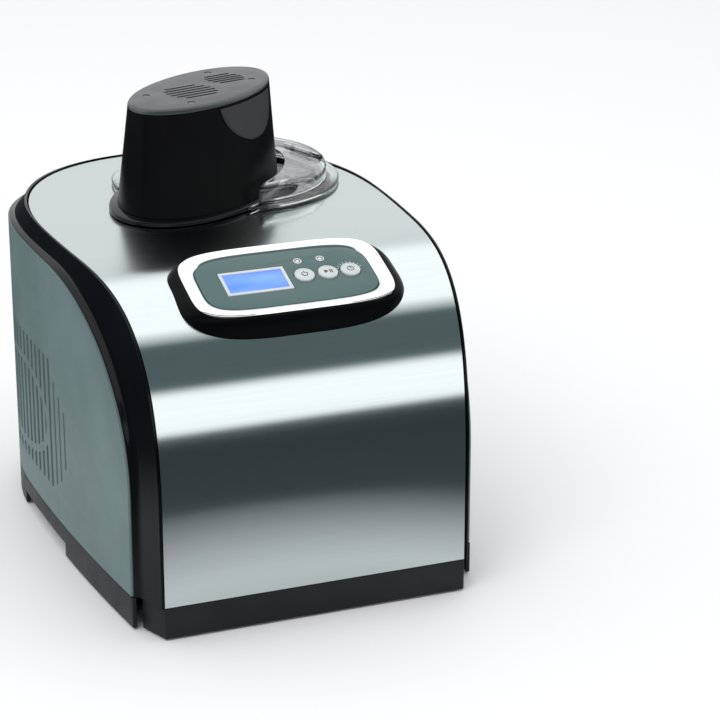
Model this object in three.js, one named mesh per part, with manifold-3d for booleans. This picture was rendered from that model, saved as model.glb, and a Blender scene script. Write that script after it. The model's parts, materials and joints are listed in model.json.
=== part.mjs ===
// Countertop ice cream maker with its own compressor: steel arch cover between two moulded cheeks,
// a sloping control panel, a round well with a lift-out bowl, a clear lid with a filling flap, and an
// oval motor housing that drives the paddle.
// Millimetres. +X to the machine's right, +Y to its back, +Z up. The origin is the centre of the
// footprint on the surface it stands on; the sub-parts are drawn with y = 0 at the front face.

import * as THREE from 'three';
import { mergeVertices } from 'three/addons/utils/BufferGeometryUtils.js';
import Module from 'manifold-3d';

const wasm = await Module();
wasm.setup();

// ---- driving dimensions ----
const GAP = 0.4;                 // clearance between neighbouring pieces
const TOP_Z = 230.3;             // flat top of the steel cover
const STEEL = 1.5;               // steel cover thickness
const SHELL = 3;                 // moulded wall thickness
const SKIRT_TOP = 23.7;
const SKIRT_BOTTOM = 1.5;
const BODY_BOTTOM = SKIRT_TOP + 0.6;
const RAISED_HEM = 11;           // underside of the skirt where it is lifted off the surface
const FRAME_LIP = 1;             // how far the cheek frame's lip stands proud of the steel
const PANEL_SEAM = 0.6;          // seam between a cheek frame and its side panel
const REAR_SPLIT_Y = 345;        // side panels end and the rear cover begins
const FAR = 200;                 // beyond every side of the body

const STEEL_PLAN = { front: 108, widest: 127, widestY: 213, back: 368, frontPower: 1.47, backPower: 2.3 };
const SIDE_PLAN = { front: 120.2, widest: 136.6, widestY: 235, back: 376.5, frontPower: 1.9, backPower: 2.64 };

// The arch over the front: straight up the face, one curve, then level to the back.
const archCurve = new THREE.CubicBezierCurve(
  new THREE.Vector2(0, 88.3),
  new THREE.Vector2(0, 220.1),
  new THREE.Vector2(58.8, TOP_Z),
  new THREE.Vector2(138.1, TOP_Z),
);

// The side panels' rounder edge, where the cheek frames end.
const SIDE_TOP_Z = 216;
const sideCurve = new THREE.CubicBezierCurve(
  new THREE.Vector2(25.6, 95),
  new THREE.Vector2(25.6, 160),
  new THREE.Vector2(78, SIDE_TOP_Z),
  new THREE.Vector2(175, SIDE_TOP_Z),
);
const ARCH_STEPS = 14;
const CORNER = [new THREE.Vector2(STEEL_PLAN.front, 0), new THREE.Vector2(117, 23)];

// The oval of louvres on each side: slots behind an oval band.
const VENT_Y = 252.5;
const VENT_Z = 89.5;
const VENT_SLOTS = 15;
const VENT_PITCH = 10.6;
const VENT_SLOT_WIDTH = 4.4;
const VENT_LOW = 46;
const VENT_HIGH = 144;
const VENT_BAND = [[71, 36], [64, 30]];

const PANEL_CENTRE = new THREE.Vector3(1, 58.3, 225.1);
const PANEL_TILT = THREE.MathUtils.degToRad(18.5);
const RING_HALF = new THREE.Vector2(71.4, 37.5);
const FASCIA_HALF = new THREE.Vector2(61, 28.6);
const PANEL_POWER = 4.5;         // roundness of the panel's outlines
const LCD_CENTRE_X = -22;
const LCD_HALF = new THREE.Vector2(23.2, 12.6);
const BUTTON_X = [12.7, 29.5, 45.7];
const BUTTON_RADIUS = 6.9;
const LED_X = [13.3, 29.5];
const LED_Y = 16.5;
const LED_RADIUS = 1.5;
const POCKET_HALF = new THREE.Vector2(57, 24.5);

const BOWL_CENTRE = new THREE.Vector2(30.2, 273.8);
const WELL_HOLE_RADIUS = 78;
const LID_RADIUS = 84.6;
const LID_Z = TOP_Z + 1.4;      // clears the raised lip of the cheek frames
const LID_THICK = 2.4;
const PLUG_RADIUS = 71.8;
const LID_FLOOR_Z = 224;
const DOME_RADIUS = 75.5;
const DOME_TOP_Z = 247;
const DOME_WALL = 2.4;
const CHORD_DISTANCE = 54.6;     // hinge line of the filling flap, from the lid's centre
const CHORD_ANGLE = THREE.MathUtils.degToRad(17.7);
const PIN_RADIUS = 0.7;
const BARREL_RADIUS = 1.7;
const HINGE_Z = DOME_TOP_Z + BARREL_RADIUS + GAP;
const LID_KNUCKLES = [[-44, -35], [-12, -3]];
const FLAP_KNUCKLE = [-34.4, -12.6];

const TOWER_CENTRE = new THREE.Vector2(0, 246.8);
const TOWER_ANGLE = Math.PI / 4;
const TOWER_COLLAR = { x: 0, y: 0, a: 89.3, b: 55.6, turn: 0 };
const TOWER_BASE = { x: 1.6, y: 0, a: 82.6, b: 50.7, turn: 0 };
const TOWER_TOP = { x: 9.2, y: 1.5, a: 72.3, b: 37.8, turn: THREE.MathUtils.degToRad(-7) };
const COLLAR_Z = TOP_Z + 0.6;
const TOWER_BASE_Z = 234.8;
const TOWER_WALL_TOP_Z = 304.6;
const TOWER_TOP_Z = 308.6;
const TOWER_WALL = 2.8;
const CAP_SCREW_AT = new THREE.Vector2(39.5, 19.4);
const CAP_VENTS = [{ x: -13.7, y: -1.5, radius: 20, slots: 6 }, { x: 31.4, y: -0.7, radius: 15.4, slots: 5 }];
const PAD_X = 11;
const PAD_HALF = 34.5;
const PAD_LOW = 275;
const PAD_HIGH = 303.4;

const GEAR_MODULE = 1.2;
const OUTPUT_TEETH = 48;
const IDLER_TEETH = 28;
const PINION_TEETH = 10;
const GEAR_Z = 238;
const GEAR_THICK = 7;
const OUTPUT_AT = new THREE.Vector2(40.45, -2.26);   // the bowl's axis in the tower's own frame

const BOWL_RIM_Z = 221.5;
const BOWL_BOTTOM_Z = 64.5;
const EAR_Z = 213.5;
const BAIL_RADIUS = 63;
const BAIL_WIRE = 1.5;

const FAN_CENTRE = new THREE.Vector3(-70, 250, 85);
const COMPRESSOR_AT = new THREE.Vector2(-50, 110);

// ---- finishes ----
function finish(color, roughness, metalness = 0, opacity = 1) {
  return new THREE.MeshStandardMaterial({ color, roughness, metalness, opacity, transparent: opacity < 1 });
}
const finishes = {
  brushedSteel: finish(0xb9bfc0, 0.34, 1),
  silverPaint: finish(0x727f80, 0.5, 0.35),
  glossBlack: finish(0x0b0c0d, 0.12),
  satinBlack: finish(0x17181a, 0.42),
  skirtBlack: finish(0x1b1e20, 0.55),
  clear: finish(0xe6eef0, 0.05, 0, 0.3),
  chrome: finish(0xe9eef0, 0.08, 1),
  fascia: finish(0x5c6b6b, 0.4, 0.2),
  silverPrint: finish(0xd5dbdc, 0.35, 0.3),
  lcd: finish(0x4a78ff, 0.1),
  gripGrey: finish(0x3a3d40, 0.6),
  rubber: finish(0x101010, 0.9),
  aluminium: finish(0xb0b4b6, 0.4, 1),
  anodised: finish(0x202326, 0.45, 0.6),
  copper: finish(0xb8734a, 0.3, 1),
  foam: finish(0xe8e2cf, 0.95),
  board: finish(0x1e5a38, 0.6),
  zinc: finish(0x8d9294, 0.4, 1),
  whitePlastic: finish(0xe9e9e4, 0.45),
};

// ---- solids ----
// The same body with shared corners merged and every face pointing out.
function outward(geometry) {
  const bare = mergeVertices(stripped(geometry), 1e-4);
  const position = bare.attributes.position;
  const index = bare.index;
  const corner = [new THREE.Vector3(), new THREE.Vector3(), new THREE.Vector3()];
  let volume = 0;
  for (let i = 0; i < index.count; i += 3) {
    corner.forEach((point, k) => point.fromBufferAttribute(position, index.getX(i + k)));
    volume += corner[0].dot(corner[1].clone().cross(corner[2]));
  }
  if (volume < 0) {
    for (let i = 0; i < index.count; i += 3) {
      const first = index.getX(i);
      index.setX(i, index.getX(i + 1));
      index.setX(i + 1, first);
    }
  }
  return bare;
}

function stripped(geometry) {
  const bare = geometry.clone();
  bare.deleteAttribute('normal');
  bare.deleteAttribute('uv');
  return bare;
}

function solid(geometry) {
  const merged = outward(geometry);
  return new wasm.Manifold(new wasm.Mesh({
    numProp: 3,
    vertProperties: new Float32Array(merged.attributes.position.array),
    triVerts: new Uint32Array(merged.index.array),
  }));
}

function geometryOf(manifold) {
  const mesh = manifold.getMesh();
  const geometry = new THREE.BufferGeometry();
  geometry.setAttribute('position', new THREE.BufferAttribute(new Float32Array(mesh.vertProperties), 3));
  geometry.setIndex(new THREE.BufferAttribute(new Uint32Array(mesh.triVerts), 1));
  return geometry;
}

function union(solids) {
  return solids.reduce((sum, next) => sum.add(next));
}

function extruded(points, depth, holes = []) {
  const shape = new THREE.Shape(points);
  holes.forEach((hole) => shape.holes.push(new THREE.Path(hole)));
  return new THREE.ExtrudeGeometry(shape, { depth, bevelEnabled: false });
}

// A plan outline (x, y) standing from z = low to z = high.
function prism(points, low, high, holes = []) {
  return extruded(points, high - low, holes).translate(0, 0, low);
}

// A side outline (y, z) extruded across the machine from x = left to x = right.
function acrossX(points, left, right) {
  const turn = new THREE.Matrix4().set(0, 0, 1, 0, 1, 0, 0, 0, 0, 1, 0, 0, 0, 0, 0, 1);
  return extruded(points, right - left).applyMatrix4(turn).translate(left, 0, 0);
}

function box(x0, x1, y0, y1, z0, z1) {
  return new THREE.BoxGeometry(x1 - x0, y1 - y0, z1 - z0)
    .translate((x0 + x1) / 2, (y0 + y1) / 2, (z0 + z1) / 2);
}

// A body of revolution about the vertical axis; profile pairs are (radius, z).
function turned(profile, segments = 32) {
  const points = profile.map(([radius, z]) => new THREE.Vector2(radius, z));
  return outward(new THREE.LatheGeometry(points, segments).rotateX(Math.PI / 2));
}

function disc(radius, low, high, segments = 32) {
  return turned([[0, low], [radius, low], [radius, high], [0, high]], segments);
}

function tube(points, radius, steps, sides = 6) {
  const section = new THREE.Shape(circlePoints(radius, sides));
  const path = new THREE.CatmullRomCurve3(points.map((p) => new THREE.Vector3(...p)), false, 'centripetal');
  return outward(new THREE.ExtrudeGeometry(section, { steps, bevelEnabled: false, extrudePath: path }));
}

function circlePoints(radius, count, x = 0, y = 0) {
  return Array.from({ length: count }, (_, i) => {
    const angle = (2 * Math.PI * i) / count;
    return new THREE.Vector2(x + radius * Math.cos(angle), y + radius * Math.sin(angle));
  });
}

function superellipse(halfX, halfY, power, count) {
  return Array.from({ length: count }, (_, i) => {
    const angle = (2 * Math.PI * i) / count;
    const cos = Math.cos(angle);
    const sin = Math.sin(angle);
    return new THREE.Vector2(
      halfX * Math.sign(cos) * Math.abs(cos) ** (2 / power),
      halfY * Math.sign(sin) * Math.abs(sin) ** (2 / power),
    );
  });
}

function ellipse(size, grow, count) {
  const centre = new THREE.Vector2(size.x, size.y);
  return Array.from({ length: count }, (_, i) => {
    const angle = (2 * Math.PI * i) / count;
    const point = new THREE.Vector2((size.a + grow) * Math.cos(angle), (size.b + grow) * Math.sin(angle));
    return point.rotateAround(new THREE.Vector2(), size.turn).add(centre);
  });
}

// A solid skinned over rings of matching points, with flat ends; endOutline is a ring flattened to 2-D.
function loft(rings, endOutline) {
  const count = rings[0].length;
  const positions = rings.flat().flatMap((p) => [p.x, p.y, p.z]);
  const index = [];
  for (let r = 0; r + 1 < rings.length; r += 1) {
    for (let i = 0; i < count; i += 1) {
      const a = r * count + i;
      const b = r * count + ((i + 1) % count);
      index.push(a, b, b + count, a, b + count, a + count);
    }
  }
  const last = (rings.length - 1) * count;
  const clockwise = THREE.ShapeUtils.area(endOutline) < 0;
  THREE.ShapeUtils.triangulateShape(endOutline, []).forEach((corners) => {
    const [a, b, c] = clockwise ? corners.reverse() : corners;
    index.push(a, c, b, last + a, last + b, last + c);
  });
  const geometry = new THREE.BufferGeometry();
  geometry.setAttribute('position', new THREE.Float32BufferAttribute(positions, 3));
  geometry.setIndex(index);
  return outward(geometry);
}

// Stacked plan outlines, each at its own height.
function stack(outlines, heights) {
  const rings = outlines.map((outline, i) => outline.map((p) => new THREE.Vector3(p.x, p.y, heights[i])));
  return loft(rings, outlines[0]);
}

// ---- body outlines ----
function planEdge(plan) {
  const { front, widest, widestY, back, frontPower, backPower } = plan;
  const frontSteps = 7;
  const backSteps = 10;
  const edge = [];
  for (let i = 0; i < frontSteps; i += 1) {
    const y = (widestY * i) / frontSteps;
    edge.push(new THREE.Vector2(widest - (widest - front) * ((widestY - y) / widestY) ** frontPower, y));
  }
  for (let j = 0; j <= backSteps; j += 1) {
    const angle = (Math.PI / 2) * (j / backSteps);
    const x = j === backSteps ? 0 : widest * Math.cos(angle) ** (2 / backPower);
    edge.push(new THREE.Vector2(x, widestY + (back - widestY) * Math.sin(angle) ** (2 / backPower)));
  }
  return edge;
}

function insetEdge(edge, inset) {
  return edge.map((point, i) => {
    const before = edge[Math.max(i - 1, 0)];
    const after = edge[Math.min(i + 1, edge.length - 1)];
    const along = after.clone().sub(before).normalize();
    const x = i === edge.length - 1 ? 0 : point.x - along.y * inset;
    const y = i === edge.length - 1 ? point.y - inset : point.y + along.x * inset;
    return new THREE.Vector2(Math.max(x, 0), Math.max(y, 0));
  });
}

function planOutline(plan, inset = 0) {
  const right = insetEdge(planEdge(plan), inset);
  const left = right.slice(0, -1).reverse().map((p) => new THREE.Vector2(-p.x, p.y));
  return [...right, ...left];
}

function curvePoint(curve, t, inset) {
  const point = curve.getPoint(t);
  const tangent = curve.getTangent(t);
  return new THREE.Vector2(point.x + tangent.y * inset, point.y - tangent.x * inset);
}

// The region under a curve over the front, pulled in by inset, as an outline in (y, z).
function regionUnder(curve, inset, bottom, back) {
  const edge = Array.from({ length: ARCH_STEPS + 1 }, (_, i) => curvePoint(curve, i / ARCH_STEPS, inset));
  return [
    new THREE.Vector2(edge[0].x, bottom),
    ...edge,
    new THREE.Vector2(back, edge[ARCH_STEPS].y),
    new THREE.Vector2(back, bottom),
  ];
}

function underArch(inset, bottom = BODY_BOTTOM, back = STEEL_PLAN.back + FAR) {
  return solid(acrossX(regionUnder(archCurve, inset, bottom, back), -FAR, FAR));
}

function withinFrames(bottom) {
  const back = STEEL_PLAN.back + FAR;
  return solid(acrossX(regionUnder(sideCurve, PANEL_SEAM, bottom, back), -FAR, FAR));
}

// The half space on one side of the middle, as a box.
function half(sign, fromY, toY, top) {
  return solid(box(Math.min(sign * FAR, 0), Math.max(sign * FAR, 0), fromY, toY, 0, top));
}

function sideWall(low, high) {
  const outer = solid(prism(planOutline(SIDE_PLAN), low, high));
  return outer.subtract(solid(prism(planOutline(SIDE_PLAN, SHELL), low - 1, high + 1)));
}

function widthAt(plan, y) {
  if (y <= plan.widestY) {
    return plan.widest - (plan.widest - plan.front) * ((plan.widestY - y) / plan.widestY) ** plan.frontPower;
  }
  const reach = Math.min((y - plan.widestY) / (plan.back - plan.widestY), 1);
  return plan.widest * (1 - reach ** plan.backPower) ** (1 / plan.backPower);
}

// ---- the model ----
const machine = new THREE.Group();
machine.name = 'ice_cream_maker';
machine.position.y = -(SIDE_PLAN.back - FRAME_LIP) / 2;

function add(name, geometry, material, parent = machine) {
  const mesh = new THREE.Mesh(geometry, material);
  mesh.name = name;
  parent.add(mesh);
  return mesh;
}

const panel = new THREE.Group();
panel.position.copy(PANEL_CENTRE);
panel.rotation.x = PANEL_TILT;
machine.add(panel);

const bowlGroup = new THREE.Group();
bowlGroup.position.set(BOWL_CENTRE.x, BOWL_CENTRE.y, 0);
machine.add(bowlGroup);

const tower = new THREE.Group();
tower.position.set(TOWER_CENTRE.x, TOWER_CENTRE.y, 0);
tower.rotation.z = TOWER_ANGLE;
machine.add(tower);

function inPanelFrame(geometry) {
  return geometry.rotateX(PANEL_TILT).translate(PANEL_CENTRE.x, PANEL_CENTRE.y, PANEL_CENTRE.z);
}

function inTowerFrame(geometry) {
  return geometry.rotateZ(TOWER_ANGLE).translate(TOWER_CENTRE.x, TOWER_CENTRE.y, 0);
}

function inBowlFrame(geometry) {
  return geometry.translate(BOWL_CENTRE.x, BOWL_CENTRE.y, 0);
}

// ---- base ----
function makeFrontSkirt() {
  const [corner, heel] = CORNER;
  const outer = [new THREE.Vector2(-heel.x, heel.y), new THREE.Vector2(-corner.x, corner.y), corner, heel];
  const inner = [
    new THREE.Vector2(heel.x - SHELL, heel.y),
    new THREE.Vector2(corner.x - SHELL, SHELL),
    new THREE.Vector2(SHELL - corner.x, SHELL),
    new THREE.Vector2(SHELL - heel.x, heel.y),
  ];
  add('front_skirt', prism([...outer, ...inner], SKIRT_BOTTOM, SKIRT_TOP), finishes.skirtBlack);
}

function makeSideSkirts() {
  const skirtFront = CORNER[1].y + 1.4;
  const archedFrom = 155;
  const archedTo = 258;
  const footTo = 302;
  const wall = sideWall(SKIRT_BOTTOM, SKIRT_TOP);
  const gapUnder = solid(box(-FAR, FAR, archedFrom, archedTo, 0, RAISED_HEM));
  const rearUnder = solid(box(-FAR, FAR, footTo, 500, 0, RAISED_HEM));
  const cut = wall.subtract(gapUnder).subtract(rearUnder);
  [['left', -1], ['right', 1]].forEach(([side, sign]) => {
    const skirt = cut.intersect(half(sign, skirtFront, REAR_SPLIT_Y, 60));
    add(`side_skirt_${side}`, geometryOf(skirt), finishes.skirtBlack);
  });
}

function makeBasePan() {
  const inset = SHELL + 0.6;
  const [corner, heel] = CORNER;
  const edge = insetEdge(planEdge(SIDE_PLAN), inset).filter((p) => p.y > heel.y + 4);
  const right = [
    new THREE.Vector2(corner.x - inset - 0.6, inset),
    new THREE.Vector2(heel.x - inset - 0.6, heel.y + 2),
    ...edge,
  ];
  const left = right.slice(0, -1).reverse().map((p) => new THREE.Vector2(-p.x, p.y));
  add('base_pan', prism([...right, ...left], 12, 15), finishes.skirtBlack);
}

function makeFeet() {
  const footRadius = 9;
  const places = {
    front_left: [-84, 44],
    front_right: [84, 44],
    rear_left: [-72, 322],
    rear_right: [72, 322],
  };
  Object.entries(places).forEach(([name, [x, y]]) => {
    const profile = [[0, 0], [footRadius - 1, 0], [footRadius, 1], [footRadius, 11.6], [0, 11.6]];
    const foot = add(`foot_${name}`, turned(profile, 14), finishes.rubber);
    foot.position.set(x, y, 0);
  });
}

// ---- outer skins ----
function makeSteelCover() {
  const sheet = underArch(0).subtract(underArch(STEEL, 0, STEEL_PLAN.back + 2 * FAR));
  const inPlan = sheet.intersect(solid(prism(planOutline(STEEL_PLAN), 0, 400)));
  const wellHole = solid(inBowlFrame(disc(WELL_HOLE_RADIUS, 200, 260, 56)));
  const pocket = superellipse(POCKET_HALF.x + 3, POCKET_HALF.y + 3, 8, 24);
  const panelHole = solid(inPanelFrame(prism(pocket, -40, 20)));
  add('steel_cover', geometryOf(inPlan.subtract(wellHole).subtract(panelHole)), finishes.brushedSteel);
}

// Stations along the cheek frame, from the foot of the front, over the arch and round the back. Each one
// places a section point: its share of the way out to the side, its share of the way down to the side
// panel's edge, and a distance in from the steel.
function frameStations() {
  const stations = [];
  const topSteps = 3;
  const backSteps = 9;
  const along = (onArch, inward, onSide) => (outShare, downShare, depth) => {
    const point = onArch.clone().addScaledVector(inward, depth).lerp(onSide, downShare);
    const steelX = widthAt(STEEL_PLAN, onArch.x);
    const x = steelX + outShare * (widthAt(SIDE_PLAN, Math.max(point.x, 0)) - steelX);
    return new THREE.Vector3(x, point.x, point.y);
  };
  const foot = new THREE.Vector2(sideCurve.v0.x, BODY_BOTTOM);
  stations.push(along(new THREE.Vector2(0, BODY_BOTTOM), new THREE.Vector2(1, 0), foot));
  for (let i = 0; i <= ARCH_STEPS; i += 1) {
    const t = i / ARCH_STEPS;
    const tangent = archCurve.getTangent(t);
    const inward = new THREE.Vector2(tangent.y, -tangent.x);
    stations.push(along(archCurve.getPoint(t), inward, sideCurve.getPoint(t)));
  }
  const down = new THREE.Vector2(0, -1);
  const archEnd = new THREE.Vector2(STEEL_PLAN.widestY, TOP_Z);
  const sideEnd = new THREE.Vector2(SIDE_PLAN.widestY, SIDE_TOP_Z);
  for (let i = 1; i <= topSteps; i += 1) {
    const share = i / topSteps;
    const onSide = sideCurve.v3.clone().lerp(sideEnd, share);
    stations.push(along(archCurve.v3.clone().lerp(archEnd, share), down, onSide));
  }
  const rounded = (plan, angle) => new THREE.Vector2(
    plan.widest * Math.cos(angle) ** (2 / plan.backPower),
    plan.widestY + (plan.back - plan.widestY) * Math.sin(angle) ** (2 / plan.backPower),
  );
  const lastAngle = THREE.MathUtils.degToRad(89.9);
  for (let i = 1; i <= backSteps; i += 1) {
    const angle = (lastAngle * i) / backSteps;
    stations.push((outShare, downShare, depth) => {
      const plan = rounded(STEEL_PLAN, angle).lerp(rounded(SIDE_PLAN, angle), outShare);
      return new THREE.Vector3(plan.x, plan.y, THREE.MathUtils.lerp(TOP_Z - depth, SIDE_TOP_Z, downShare));
    });
  }
  return stations;
}

function makeSideFrames() {
  // (share of the way out to the side, share of the way down to the panel's edge, depth in from the steel)
  const section = [
    [0.08, 0, -FRAME_LIP],
    [0.18, 0, -FRAME_LIP],
    [0.22, 0, 1],
    [0.66, 0.8, 0],
    [0.92, 0.97, 0],
    [0.92, 1, 0],
    [0.45, 1, 0],
    [0.08, 0, 5],
  ];
  const nominal = { out: 10, down: 20 };
  const outline = section.map(([outShare, downShare, depth]) => (
    new THREE.Vector2(outShare * nominal.out, -downShare * nominal.down - depth)
  ));
  const seam = 0.2;
  const rings = frameStations().map((place) => section.map((at) => {
    const point = place(...at);
    point.x = Math.max(point.x, seam);
    return point;
  }));
  const right = loft(rings, outline);
  add('side_frame_right', right, finishes.glossBlack);
  add('side_frame_left', outward(right.clone().scale(-1, 1, 1)), finishes.glossBlack);
}

function ventSlots(sign) {
  const firstY = VENT_Y - (VENT_PITCH * (VENT_SLOTS - 1) + VENT_SLOT_WIDTH) / 2;
  const inner = Math.min(sign * 80, sign * FAR);
  const outer = Math.max(sign * 80, sign * FAR);
  const slots = Array.from({ length: VENT_SLOTS }, (_, i) => {
    const y = firstY + VENT_PITCH * i;
    return solid(box(inner, outer, y, y + VENT_SLOT_WIDTH, VENT_LOW, VENT_HIGH));
  });
  const [outerOval, innerOval] = VENT_BAND.map(([halfY, halfZ]) => (
    solid(disc(1, 0, 2 * FAR, 40).rotateY(Math.PI / 2).scale(1, halfY, halfZ).translate(-FAR, VENT_Y, VENT_Z))
  ));
  return union(slots).subtract(outerOval.subtract(innerOval));
}

function makeSideAndRearPanels() {
  const wall = sideWall(BODY_BOTTOM, TOP_Z).intersect(withinFrames(BODY_BOTTOM));
  [['left', -1], ['right', 1]].forEach(([side, sign]) => {
    const skin = wall.intersect(half(sign, 0, REAR_SPLIT_Y, 300)).subtract(ventSlots(sign));
    add(`side_panel_${side}`, geometryOf(skin), finishes.silverPaint);
  });
  const rearWall = sideWall(RAISED_HEM, TOP_Z).intersect(withinFrames(0));
  const rearZone = solid(box(-FAR, FAR, REAR_SPLIT_Y + GAP, 500, 0, 300));
  const slots = Array.from({ length: 11 }, (_, i) => {
    const x = -42 + 8 * i;
    return solid(box(x, x + 3.6, 300, 400, 110, 180));
  });
  const inletHole = solid(box(-70, -38, 300, 400, 40, 66));
  const rear = rearWall.intersect(rearZone).subtract(union(slots)).subtract(inletHole);
  add('rear_cover', geometryOf(rear), finishes.satinBlack);
}

function makePowerInlet() {
  const body = solid(box(-69, -39, 338, 371.5, 41, 65));
  const socket = solid(box(-65, -43, 350, 390, 45, 61));
  const pins = [[-60, 52], [-54, 56], [-48, 52]].map(([x, z]) => (
    solid(box(x - 1, x + 1, 349.5, 366, z - 2.5, z + 2.5))
  ));
  add('power_inlet', geometryOf(body.subtract(socket).add(union(pins))), finishes.satinBlack);
}

// ---- control panel ----
function makePanelHousing() {
  const count = 32;
  const levels = [[74, 38.6, -0.8], [78, 39.8, -3.5], [80, 40.4, -7], [81, 40.8, -30]];
  const outlines = levels.map(([halfX, halfY]) => superellipse(halfX, halfY, PANEL_POWER - 1, count));
  const block = solid(inPanelFrame(stack(outlines, levels.map((level) => level[2]))));
  const recess = superellipse(RING_HALF.x + GAP, RING_HALF.y + GAP, PANEL_POWER, 36);
  const pocket = superellipse(POCKET_HALF.x, POCKET_HALF.y, 8, 24);
  const housing = block
    .subtract(underArch(-GAP, 0))
    .subtract(solid(inPanelFrame(prism(recess, -3.6, 10))))
    .subtract(solid(inPanelFrame(prism(pocket, -40, 10))));
  add('panel_housing', geometryOf(housing), finishes.satinBlack);
}

function makePanelFace() {
  const ringOuter = superellipse(RING_HALF.x, RING_HALF.y, PANEL_POWER, 36);
  const ringInner = superellipse(FASCIA_HALF.x + GAP, FASCIA_HALF.y + GAP, PANEL_POWER, 32);
  add('chrome_ring', prism(ringOuter, -3.2, 0.6, [ringInner]), finishes.chrome, panel);

  const rectangle = (half, grow, x = 0) => [
    new THREE.Vector2(x - half.x - grow, -half.y - grow),
    new THREE.Vector2(x + half.x + grow, -half.y - grow),
    new THREE.Vector2(x + half.x + grow, half.y + grow),
    new THREE.Vector2(x - half.x - grow, half.y + grow),
  ];
  const lcdBorder = -2.4;
  const holes = [
    rectangle(LCD_HALF, GAP, LCD_CENTRE_X),
    ...BUTTON_X.map((x) => circlePoints(BUTTON_RADIUS + GAP, 24, x, 0)),
    ...LED_X.map((x) => circlePoints(LED_RADIUS + GAP, 12, x, LED_Y)),
  ];
  const face = superellipse(FASCIA_HALF.x, FASCIA_HALF.y, PANEL_POWER, 32);
  add('panel_fascia', prism(face, -3, -1, holes), finishes.fascia, panel);
  const frameHole = rectangle(LCD_HALF, lcdBorder, LCD_CENTRE_X);
  add('lcd_frame', prism(rectangle(LCD_HALF, 0, LCD_CENTRE_X), -3, -0.6, [frameHole]),
    finishes.silverPrint, panel);
  const pane = rectangle(LCD_HALF, lcdBorder - 0.3, LCD_CENTRE_X);
  add('lcd_window', prism(pane, -4.5, -1, []), finishes.lcd, panel);
  ['cooling_led', 'mixing_led'].forEach((name, i) => {
    const lens = add(name, disc(LED_RADIUS, -4.5, -0.7, 12), finishes.whitePlastic, panel);
    lens.position.set(LED_X[i], LED_Y, 0);
  });
  ['power_button', 'start_button', 'timer_button'].forEach((name, i) => {
    const r = BUTTON_RADIUS;
    const profile = [[0, -6], [r - 1.4, -6], [r - 1.4, -4], [r, -4], [r, -0.2], [r - 0.7, 0.3], [0, 0.6]];
    const button = add(name, turned(profile, 16), finishes.silverPrint, panel);
    button.position.set(BUTTON_X[i], 0, 0);
  });
  add('control_board', box(-54, 54, -21, 21, -9.2, -7.6), finishes.board, panel);
}

// ---- well and cooling ----
function makeWell() {
  const collar = [
    [73, TOP_Z - 0.1], [77.4, TOP_Z - 0.1], [77.4, 228.4], [80.5, 228.4], [80.5, 226.2], [75.6, 226.2],
    [75.6, 205.2], [58, 205.2], [58, 207.6], [73, 207.6], [73, TOP_Z - 0.1],
  ];
  add('well_collar', turned(collar, 36), finishes.satinBlack, bowlGroup);
  const cup = [
    [0, 62], [46.4, 62], [51.3, 67], [57.5, 202], [63, 202], [63, 204.7], [56, 204.7], [49.8, 67.8],
    [46, 63.5], [0, 63.5],
  ];
  add('cooling_well', turned(cup, 28), finishes.aluminium, bowlGroup);
  const foam = [[0, 44], [73, 44], [73, 199], [68.4, 199], [68.4, 58], [0, 58]];
  add('well_insulation', turned(foam, 24), finishes.foam, bowlGroup);
  const turns = 4;
  const perTurn = 12;
  const helix = Array.from({ length: turns * perTurn + 1 }, (_, i) => {
    const angle = (2 * Math.PI * i) / perTurn;
    return [63.2 * Math.cos(angle), 63.2 * Math.sin(angle), 84 + (27 * i) / perTurn];
  });
  add('evaporator_coil', tube(helix, 3.6, turns * perTurn, 4), finishes.copper, bowlGroup);
}

function makeCompressor() {
  const can = [[0, 22.4], [38, 22.4], [47, 30], [50, 44], [50, 98], [46, 112], [32, 123], [0, 127]];
  const compressor = add('compressor', turned(can, 24), finishes.satinBlack);
  compressor.position.set(COMPRESSOR_AT.x, COMPRESSOR_AT.y, 0);
  const { x, y } = COMPRESSOR_AT;
  const channel = [
    [y - 44, 15.4], [y - 41, 15.4], [y - 41, 18.8], [y + 41, 18.8], [y + 41, 15.4], [y + 44, 15.4],
    [y + 44, 22], [y - 44, 22],
  ].map(([py, pz]) => new THREE.Vector2(py, pz));
  add('compressor_bracket', acrossX(channel, x - 54, x + 54), finishes.zinc);
  const discharge = [
    [x - 8, y + 8, 127.4], [x - 8, y + 8, 141], [x - 20, y + 40, 148],
    [x - 42, y + 84, 148], [x - 47, y + 100, 141],
    [x - 47, y + 102, 132],
  ];
  add('discharge_line', tube(discharge, 2.4, 16, 5), finishes.copper);
  const suction = [
    [x + 10, y - 4, 127.2], [x + 10, y - 4, 150], [x + 18, y + 20, 168],
    [x + 26, y + 80, 172], [x + 27.4, y + 110, 172],
  ];
  add('suction_line', tube(suction, 3.2, 16, 5), finishes.copper);
}

function makeCondenser() {
  const fins = 9;
  const pitch = 11;
  const finThick = 3;
  const [outerX, coreX0, coreX1, innerX] = [-113, -102, -96, -85];
  const startY = 201;
  const outline = [];
  for (let i = 0; i < fins; i += 1) {
    const y = startY + pitch * i;
    outline.push([coreX1, y], [innerX, y], [innerX, y + finThick], [coreX1, y + finThick]);
  }
  for (let i = fins - 1; i >= 0; i -= 1) {
    const y = startY + pitch * i;
    outline.push([coreX0, y + finThick], [outerX, y + finThick], [outerX, y], [coreX0, y]);
  }
  const points = outline.map(([px, py]) => new THREE.Vector2(px, py));
  add('condenser', prism(points, 34, 131), finishes.aluminium);
}

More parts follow.
